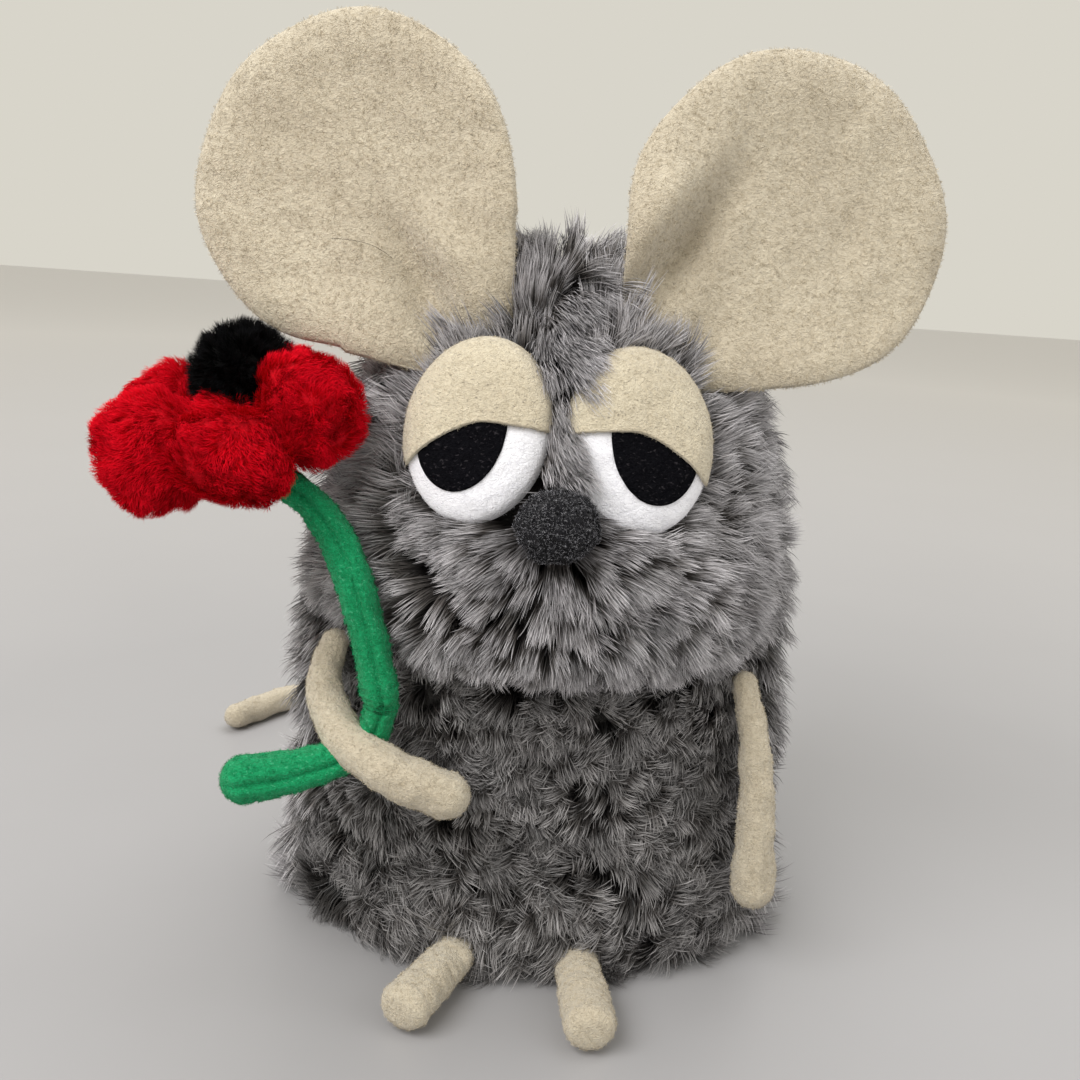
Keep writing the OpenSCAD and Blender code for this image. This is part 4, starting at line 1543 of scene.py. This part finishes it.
@dataclass
class Nose(Maker):
    """Ball of boiled wool."""

    def place(self) -> tuple[Array, float]:
        """Centre and radius of the nose.

        Returns:
            The centre and the radius in millimetres.
        """
        low, high = (np.array(v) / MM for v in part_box("nose"))
        return (low + high) / 2, float((high - low).max() / 2)

    def build(self) -> None:
        """Builds the lumpy ball and its fuzz."""
        centre, radius = self.place()
        bpy.ops.object.select_all(action="DESELECT")
        bpy.ops.mesh.primitive_ico_sphere_add(subdivisions=6, radius=radius * MM)
        piece = bpy.context.object
        piece.name = piece.data.name = "nose_ball"
        co = vertex_arrays(piece)[0]
        push = 0.45 * ripple(co, 8, 61) + 0.28 * ripple(co, 3.2, 62) + 0.12 * ripple(co, 1.3, 63)
        co = co * np.array([1.07, 0.96, 0.92]) + unit(co) * (push - 0.3)[:, None] + centre
        set_vertices(piece, co)
        bpy.ops.object.shade_smooth()
        self.finish(piece, "nose_wool", "nose_wool", "body", ("nose",), 0.9)
        self.nap(piece, "nose_fuzz", "nose_pile", "nose_wool", "body", 2600, 1.3, 0.09, 62)

    def inside(self, p: Array) -> Array:
        """Which points lie inside the nose.

        Args:
            p: points to test.

        Returns:
            True for each point inside.
        """
        centre, radius = self.place()
        return np.linalg.norm((p - centre) / np.array([1.05, 1.0, 0.95]), axis=1) < radius


# ---------------------------------------------------------------- limbs, tail and flower


@dataclass
class FeltTube(Maker):
    """A stuffed felt limb or stem with a lengthwise seam and small creases.

    Attributes:
        name: the piece's name.
        node: the CAD node that it stands for, if it is only one.
        body: the CAD body that it rides on, or nothing if it is blended.
        tube: its route and thickness.
        finish_name: its material.
        nap_name: the material of its nap.
        slot: the record's material slot.
        seam_to: the way that the seam faces.
        seam_deep: depth of the seam.
        ribs: height of the small creases.
        rib_gap: distance between creases.
        naps: small tufts of nap, or 0 for none.
        sink: how far the pile may reach into its surface.
    """

    name: str = ""
    node: str = ""
    body: str = "body"
    tube: Tube | None = None
    finish_name: str = "cream_felt"
    nap_name: str = "cream_nap"
    slot: str = "cream_felt"
    seam_to: tuple[float, float, float] = (0.3, 1.0, -0.3)
    seam_deep: float = 0.45
    ribs: float = 0.10
    rib_gap: float = 2.4
    naps: int = 2500
    sink: float = 0.1

    def build(self) -> bpy.types.Object:
        """Builds the tube and its nap.

        Returns:
            The tube's object.
        """
        points, out, along, angle = self.tube.grid()
        flat = points.reshape(-1, 3)
        quarter = out[:, len(angle) // 4] @ np.array(self.seam_to)
        facing = np.arctan2(quarter, out[:, 0] @ np.array(self.seam_to))[:, None]
        off = (angle[None] - facing + math.pi) % (2 * math.pi) - math.pi
        seam = -self.seam_deep * bump(off, 0, 0.17)
        body = np.clip(np.minimum(along, along[-1] - along) / 4, 0, 1)[:, None]
        rib = self.ribs * np.sin(2 * math.pi * along / self.rib_gap)[:, None]
        rib = rib * (0.5 + 0.5 * ripple(flat, 11, 71).reshape(len(along), -1))
        lump = 0.28 * ripple(flat, 9, 72) + 0.14 * ripple(flat, 3.5, 73)
        push = (seam + rib) * body + lump.reshape(len(along), -1) * body - 0.1
        grid = points + out * push[..., None]
        grid[..., 2] = np.maximum(grid[..., 2], 0.25)
        piece = mesh_from(self.name, grid, grid_faces(len(along), len(angle)))
        self.finish(piece, self.finish_name, self.slot, self.body,
                    (self.node,) if self.node else (), 0.8)
        if self.naps:
            self.nap(piece, self.name + "_nap", self.nap_name, self.slot, self.body, self.naps,
                     0.7, 0.08, 72)
        return piece

    def inside(self, p: Array) -> Array:
        """Which points lie inside the tube.

        Args:
            p: points to test.

        Returns:
            True for each point inside.
        """
        near = np.zeros(len(p), bool)
        low = self.tube.route[:, :3].min(0) - 9
        high = self.tube.route[:, :3].max(0) + 9
        close = ((p > low) & (p < high)).all(1)
        q = p[close]
        hit = np.zeros(len(q), bool)
        for row in self.tube.route[::3]:
            hit |= np.linalg.norm(q - row[:3], axis=1) < row[3] - self.sink
        near[close] = hit
        return near


@dataclass
class Flower(Maker):
    """Fluffy red poppy on a felt stem, held in the mouse's right arm.

    Attributes:
        hold: x and y where the hand holds the stem; not used.
        centre: middle of the petals.
        stem_r: radius of the stem.
        stem_naps: small tufts of nap on the stem.
        petal_tufts: tufts of pile on the petals.
    """

    hold: tuple[float, float] = (-40.0, -59.0)
    centre: tuple[float, float, float] = (-80.0, -47.0, 147.5)
    stem_r: float = 4.8
    stem_naps: int = 4200
    petal_tufts: int = 8000

    def stem_rows(self) -> list[tuple[float, ...]]:
        """Route of the stem from the petals to its cut end.

        Returns:
            Rows of x, y, z and radius.
        """
        r = self.stem_r
        return [(-72, -47, 136, r - 0.7), (-62, -48, 131, r - 0.5), (-53, -50, 120, r), (-46, -54, 103, r),
                (-41.5, -57.5, 88, r), (-40.5, -57, 79, r - 0.5), (-46, -57.5, 68.5, r - 0.2),
                (-60, -62, 63.5, r + 0.7), (-73, -65, 61.4, r + 1.4)]

    def build(self) -> list[Callable[[Array], Array]]:
        """Builds stem, petals and pompom.

        Returns:
            Tests for points that no fur may enter.
        """
        stem = FeltTube(self.wardrobe, self.rng, name="stem_felt", body="", tube=Tube(
            self.stem_rows(), 16, 36), finish_name="green_felt", nap_name="green_nap",
            slot="green_felt", seam_to=(0.15, -1.0, 0.1), seam_deep=1.5, ribs=0.25, rib_gap=2.1, naps=0)
        piece = stem.build()
        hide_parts("stem_upper", "stem_lower")
        roots, normals = scatter(piece, self.stem_naps, self.rng)
        lay = self.rng.normal(size=roots.shape)
        pile = Pile(0.8, 0.08, 3, (0.5, 0.5), 30, 70, 0.1, 0.25, 0.8, 3)
        fuzz = Fleece(pile, 77).grow("stem_nap", roots, normals, lay)
        self.finish(fuzz, "green_nap", "green_felt", "")
        for soft in (piece, fuzz):
            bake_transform(soft)
        self._petals()
        return [stem.inside]

    def _petals(self) -> None:
        """Puffy petals round a black pompom."""
        centre = np.array(self.centre)
        lobes = (((-17, -8, -6), (15.5, 14, 14.5)), ((3, -15, -4), (15.5, 12, 12.5)),
                 ((18, -2, 6), (13.5, 14, 14)), ((-20, 11, 1), (12, 12, 12)),
                 ((0, 16, 4), (14, 12, 12)), ((14, 12, 8), (12, 12, 11)), ((0, 0, -2), (14, 14, 11)))
        parts = []
        for place, size in lobes:
            bpy.ops.object.select_all(action="DESELECT")
            bpy.ops.mesh.primitive_uv_sphere_add(segments=48, ring_count=28, radius=1)
            ball = bpy.context.object
            ball.data.transform(Matrix.Diagonal((*((np.array(size) - 1.2) * MM), 1)))
            ball.data.transform(Matrix.Translation(Vector((centre + place) * MM)))
            parts.append(ball)
        piece = self._melt(parts, "petal_cloth", 1.0 * MM, 5)
        co, no = vertex_arrays(piece)
        push = 1.1 * ripple(co, 17, 81) + 0.4 * ripple(co, 7, 82)
        set_vertices(piece, co + no * push[:, None])
        self.finish(piece, "red_backing", "red_fleece", "flower", ("flower_petals",), 0.8)
        roots, normals = scatter(piece, self.petal_tufts, self.rng)
        lay = unit(roots - centre) + 0.8 * unit(
            np.stack([ripple(roots, 18, s) for s in (83, 84, 85)], -1))
        pile = Pile(3.4, 0.14, 8, (1.0, 1.0), 32, 82, 0.1, 0.12, 0.26, 3, 5, 0.03)
        fluff = Fleece(pile, 86).grow("petal_pile", roots, normals, lay, 1.0,
                                      0.12 * ripple(roots, 10, 87))
        self.finish(fluff, "red_pile", "red_fleece", "flower")
        self._pompom()

    def _pompom(self) -> None:
        """Dense black ball in the middle of the petals."""
        low, high = (np.array(v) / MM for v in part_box("flower_centre"))
        radius = float(high[0] - low[0]) / 2 - 3.0
        centre = np.array([(low[0] + high[0]) / 2, (low[1] + high[1]) / 2, high[2] - radius - 1.0])
        centre[1] += 3.0
        bpy.ops.object.select_all(action="DESELECT")
        bpy.ops.mesh.primitive_ico_sphere_add(subdivisions=5, radius=radius * MM)
        ball = bpy.context.object
        ball.name = ball.data.name = "pompom_core"
        co = vertex_arrays(ball)[0]
        set_vertices(ball, co * (1 + 0.04 * ripple(co, 7, 91))[:, None] + centre)
        bpy.ops.object.shade_smooth()
        self.finish(ball, "black_backing", "black_pompom", "flower", ("flower_centre",), 0.9)
        roots, normals = scatter(ball, 1500, self.rng)
        pile = Pile(4.4, 0.16, 14, (0.8, 0.8), 4, 22, 0.1, 0.1, 1.0, 3)
        fluff = Fleece(pile, 92).grow("pompom_pile", roots, normals,
                                      self.rng.normal(size=roots.shape))
        self.finish(fluff, "black_pile", "black_pompom", "flower")

    @staticmethod
    def _melt(parts: list[bpy.types.Object], name: str, voxel: float,
              smooth: int) -> bpy.types.Object:
        """Joins overlapping forms into one smooth skin.

        Args:
            parts: the forms.
            name: the new piece's name.
            voxel: size of the remesh.
            smooth: rounds of smoothing.

        Returns:
            The joined object.
        """
        select_only(parts[0])
        for part in parts:
            part.select_set(True)
        bpy.ops.object.join()
        piece = bpy.context.object
        piece.name = piece.data.name = name
        melt = piece.modifiers.new("melt", "REMESH")
        melt.mode, melt.voxel_size = "VOXEL", voxel
        soften = piece.modifiers.new("soften", "SMOOTH")
        soften.factor, soften.iterations = 0.5, smooth
        for modifier in ("melt", "soften"):
            bpy.ops.object.modifier_apply(modifier=modifier)
        bpy.ops.object.shade_smooth()
        return piece


# ---------------------------------------------------------------- clockwork and studio


def dress_clockwork(wardrobe: Wardrobe) -> None:
    """Gives every carried-over CAD node its metal or plastic.

    Args:
        wardrobe: all finishes.
    """
    slots = {row["node"]: row["material_slot"] for row in frame["record"]["subparts"]}
    for node, piece in frame["nodes"].items():
        if slots[node] in wardrobe.kept:
            wardrobe.dress(piece, slots[node])


@dataclass
class Studio:
    """Camera, lights and floor.

    Attributes:
        eye: where the camera stands.
        pitch: degrees that it looks down.
        roll: degrees that it is turned about its own axis.
        lens: focal length.
    """

    eye: tuple[float, float, float] = (-3.0, -330.0, 200.0)
    pitch: float = 15.0
    roll: float = 4.0
    lens: float = 38.6

    def build(self) -> None:
        """Sets up the view."""
        scene = bpy.context.scene
        scene.view_settings.view_transform = "Standard"
        camera = bpy.data.objects.new("camera", bpy.data.cameras.new("camera"))
        bpy.context.collection.objects.link(camera)
        camera.data.lens = self.lens
        camera.data.sensor_width = 36
        camera.data.clip_start = 0.01
        view = turn(x=90 - self.pitch) @ turn(z=self.roll)
        camera.matrix_world = Matrix.Translation(Vector(self.eye) * MM) @ Matrix(
            view.tolist()).to_4x4()
        scene.camera = camera
        self._light("window", (-0.55, -0.62, 0.95), (0.9, 0.7), 13.0, (1.0, 0.99, 0.975))
        self._light("fill", (0.85, -0.45, 0.55), (0.8, 0.8), 2.0, (0.95, 0.97, 1.0))
        self._light("top", (0.1, 0.35, 1.1), (0.9, 0.9), 6.0, (1.0, 1.0, 1.0))
        world = bpy.data.worlds.new("studio")
        world.use_nodes = True
        world.node_tree.nodes["Background"].inputs["Color"].default_value = (0.86, 0.83, 0.74, 1)
        world.node_tree.nodes["Background"].inputs["Strength"].default_value = 0.8
        scene.world = world
        self._floor()

    @staticmethod
    def _light(name: str, place: tuple[float, float, float], size: tuple[float, float],
               power: float, colour: tuple[float, float, float]) -> None:
        """Adds a soft light that looks at the toy.

        Args:
            name: its name.
            place: where it stands, in metres.
            size: width and height of its panel, in metres.
            power: watts.
            colour: its colour.
        """
        data = bpy.data.lights.new(name, "AREA")
        data.shape, data.size, data.size_y = "RECTANGLE", *size
        data.energy, data.color = power, colour
        lamp = bpy.data.objects.new(name, data)
        bpy.context.collection.objects.link(lamp)
        lamp.location = place
        aim = Vector((0, 0, 0.11)) - Vector(place)
        lamp.rotation_euler = aim.to_track_quat("-Z", "Y").to_euler()

    @staticmethod
    def _floor() -> None:
        """Adds the pale floor, painted lighter with distance from the toy."""
        bpy.ops.object.select_all(action="DESELECT")
        bpy.ops.mesh.primitive_plane_add(size=6, location=(0, 0, 0))
        floor = bpy.context.object
        floor.name = "floor"
        mat = bpy.data.materials.new("pale_floor")
        mat.use_nodes = True
        n = Nodes(mat.node_tree)
        shader = mat.node_tree.nodes["Principled BSDF"]
        where = n.add("ShaderNodeTexCoord").outputs["Object"]
        fac = n.noise(where, 9, 3, 0.5)
        colour = n.mix(fac, (0.335, 0.33, 0.34, 1), (0.36, 0.355, 0.365, 1))
        # Painted light: the floor's colour brightens from 0.25 m to 1.6 m away, making up for the lamps'
        # falloff.
        away = n.add("ShaderNodeVectorMath", {0: where}, operation="LENGTH").outputs["Value"]
        far = n.add("ShaderNodeMapRange", {0: away, 1: 0.25, 2: 1.6}).outputs[0]
        colour = n.mix(far, colour, (0.72, 0.70, 0.69, 1))
        mat.node_tree.links.new(colour, shader.inputs["Base Color"])
        shader.inputs["Roughness"].default_value = 0.42
        shader.inputs["Specular IOR Level"].default_value = 0.3
        floor.data.materials.append(mat)


def limbs(wardrobe: Wardrobe, rng: np.random.Generator) -> list[FeltTube]:
    """Arms, feet and tail.

    Args:
        wardrobe: all finishes.
        rng: seeded random numbers.

    Returns:
        The limbs, not yet built.
    """
    def foot(word: str, place: tuple[float, float], aim: float) -> FeltTube:
        """A foot that points away from the body at an angle.

        Args:
            word: right or left.
            place: x and y of the hip.
            aim: degrees off straight ahead.

        Returns:
            The foot.
        """
        way = turn(z=aim) @ np.array([0.0, -1.0, 0.0])
        rows = [(*(np.array([*place, 7.3]) + way * d)[:3], r) for d, r in
                ((-1, 5.8), (6, 6.1), (14, 6.6), (25.5, 6.7))]
        return FeltTube(wardrobe, rng, name=f"foot_{word}_felt", node=f"foot_{word}",
                        body=f"foot_{word}", sink=2.6, tube=Tube(rows, 12, 44, 0.9, 0.5),
                        ribs=0.2, rib_gap=3.1, naps=1500)

    arm_right = FeltTube(wardrobe, rng, name="arm_right_felt", node="arm_right", tube=Tube([
        (-56.5, -35, 88, 4.0), (-57.5, -44, 80, 4.7), (-50, -57.5, 72, 5.5),
        (-38, -64, 66.5, 5.9), (-27, -65, 62.5, 6.1), (-22, -64.5, 60.5, 6.0)]), naps=2800)
    arm_left = FeltTube(wardrobe, rng, name="arm_left_felt", node="arm_left", body="arm_left",
                        seam_to=(0.5, -1.0, 0.0), tube=Tube([
                            (55.5, -33, 84, 3.4), (59.8, -39, 66, 4.3), (61.6, -42, 45, 5.2),
                            (62.6, -43, 28, 6.0)]), naps=2800)
    tail = FeltTube(wardrobe, rng, name="tail_felt", node="tail", body="tail", tube=Tube([
        (-6, 52.5, 9, 4.4), (-14, 76, 5.6, 4.6), (-36, 108, 5, 4.8), (-68, 126, 5.1, 4.9),
        (-98, 120, 5.2, 5.0), (-118.5, 95, 5.2, 4.9)], 16), naps=3400)
    return [arm_right, arm_left, foot("right", (-18.5, -53.5), -24.0),
            foot("left", (15.0, -54.5), 7.0), tail]


def main() -> None:
    """Builds the toy and the studio round it."""
    logging.basicConfig(level=logging.INFO, format="%(message)s")
    Studio().build()
    wardrobe = Wardrobe()
    rng = np.random.default_rng(7)
    dress_clockwork(wardrobe)
    keep_out: list[Callable[[Array], Array]] = []
    for side in Side:
        ear = Ear(wardrobe, rng, side=side)
        ear.build()
        keep_out.append(ear.inside)
        eye = Eye(wardrobe, rng, side=side)
        eye.build()
        keep_out.append(eye.inside)
    nose = Nose(wardrobe, rng)
    nose.build()
    keep_out.append(nose.inside)
    for limb in limbs(wardrobe, rng):
        limb.build()
        keep_out.append(limb.inside)
    keep_out += Flower(wardrobe, rng).build()
    StuffedBody(wardrobe, rng).build(keep_out)


if __name__ == "__main__":
    main()
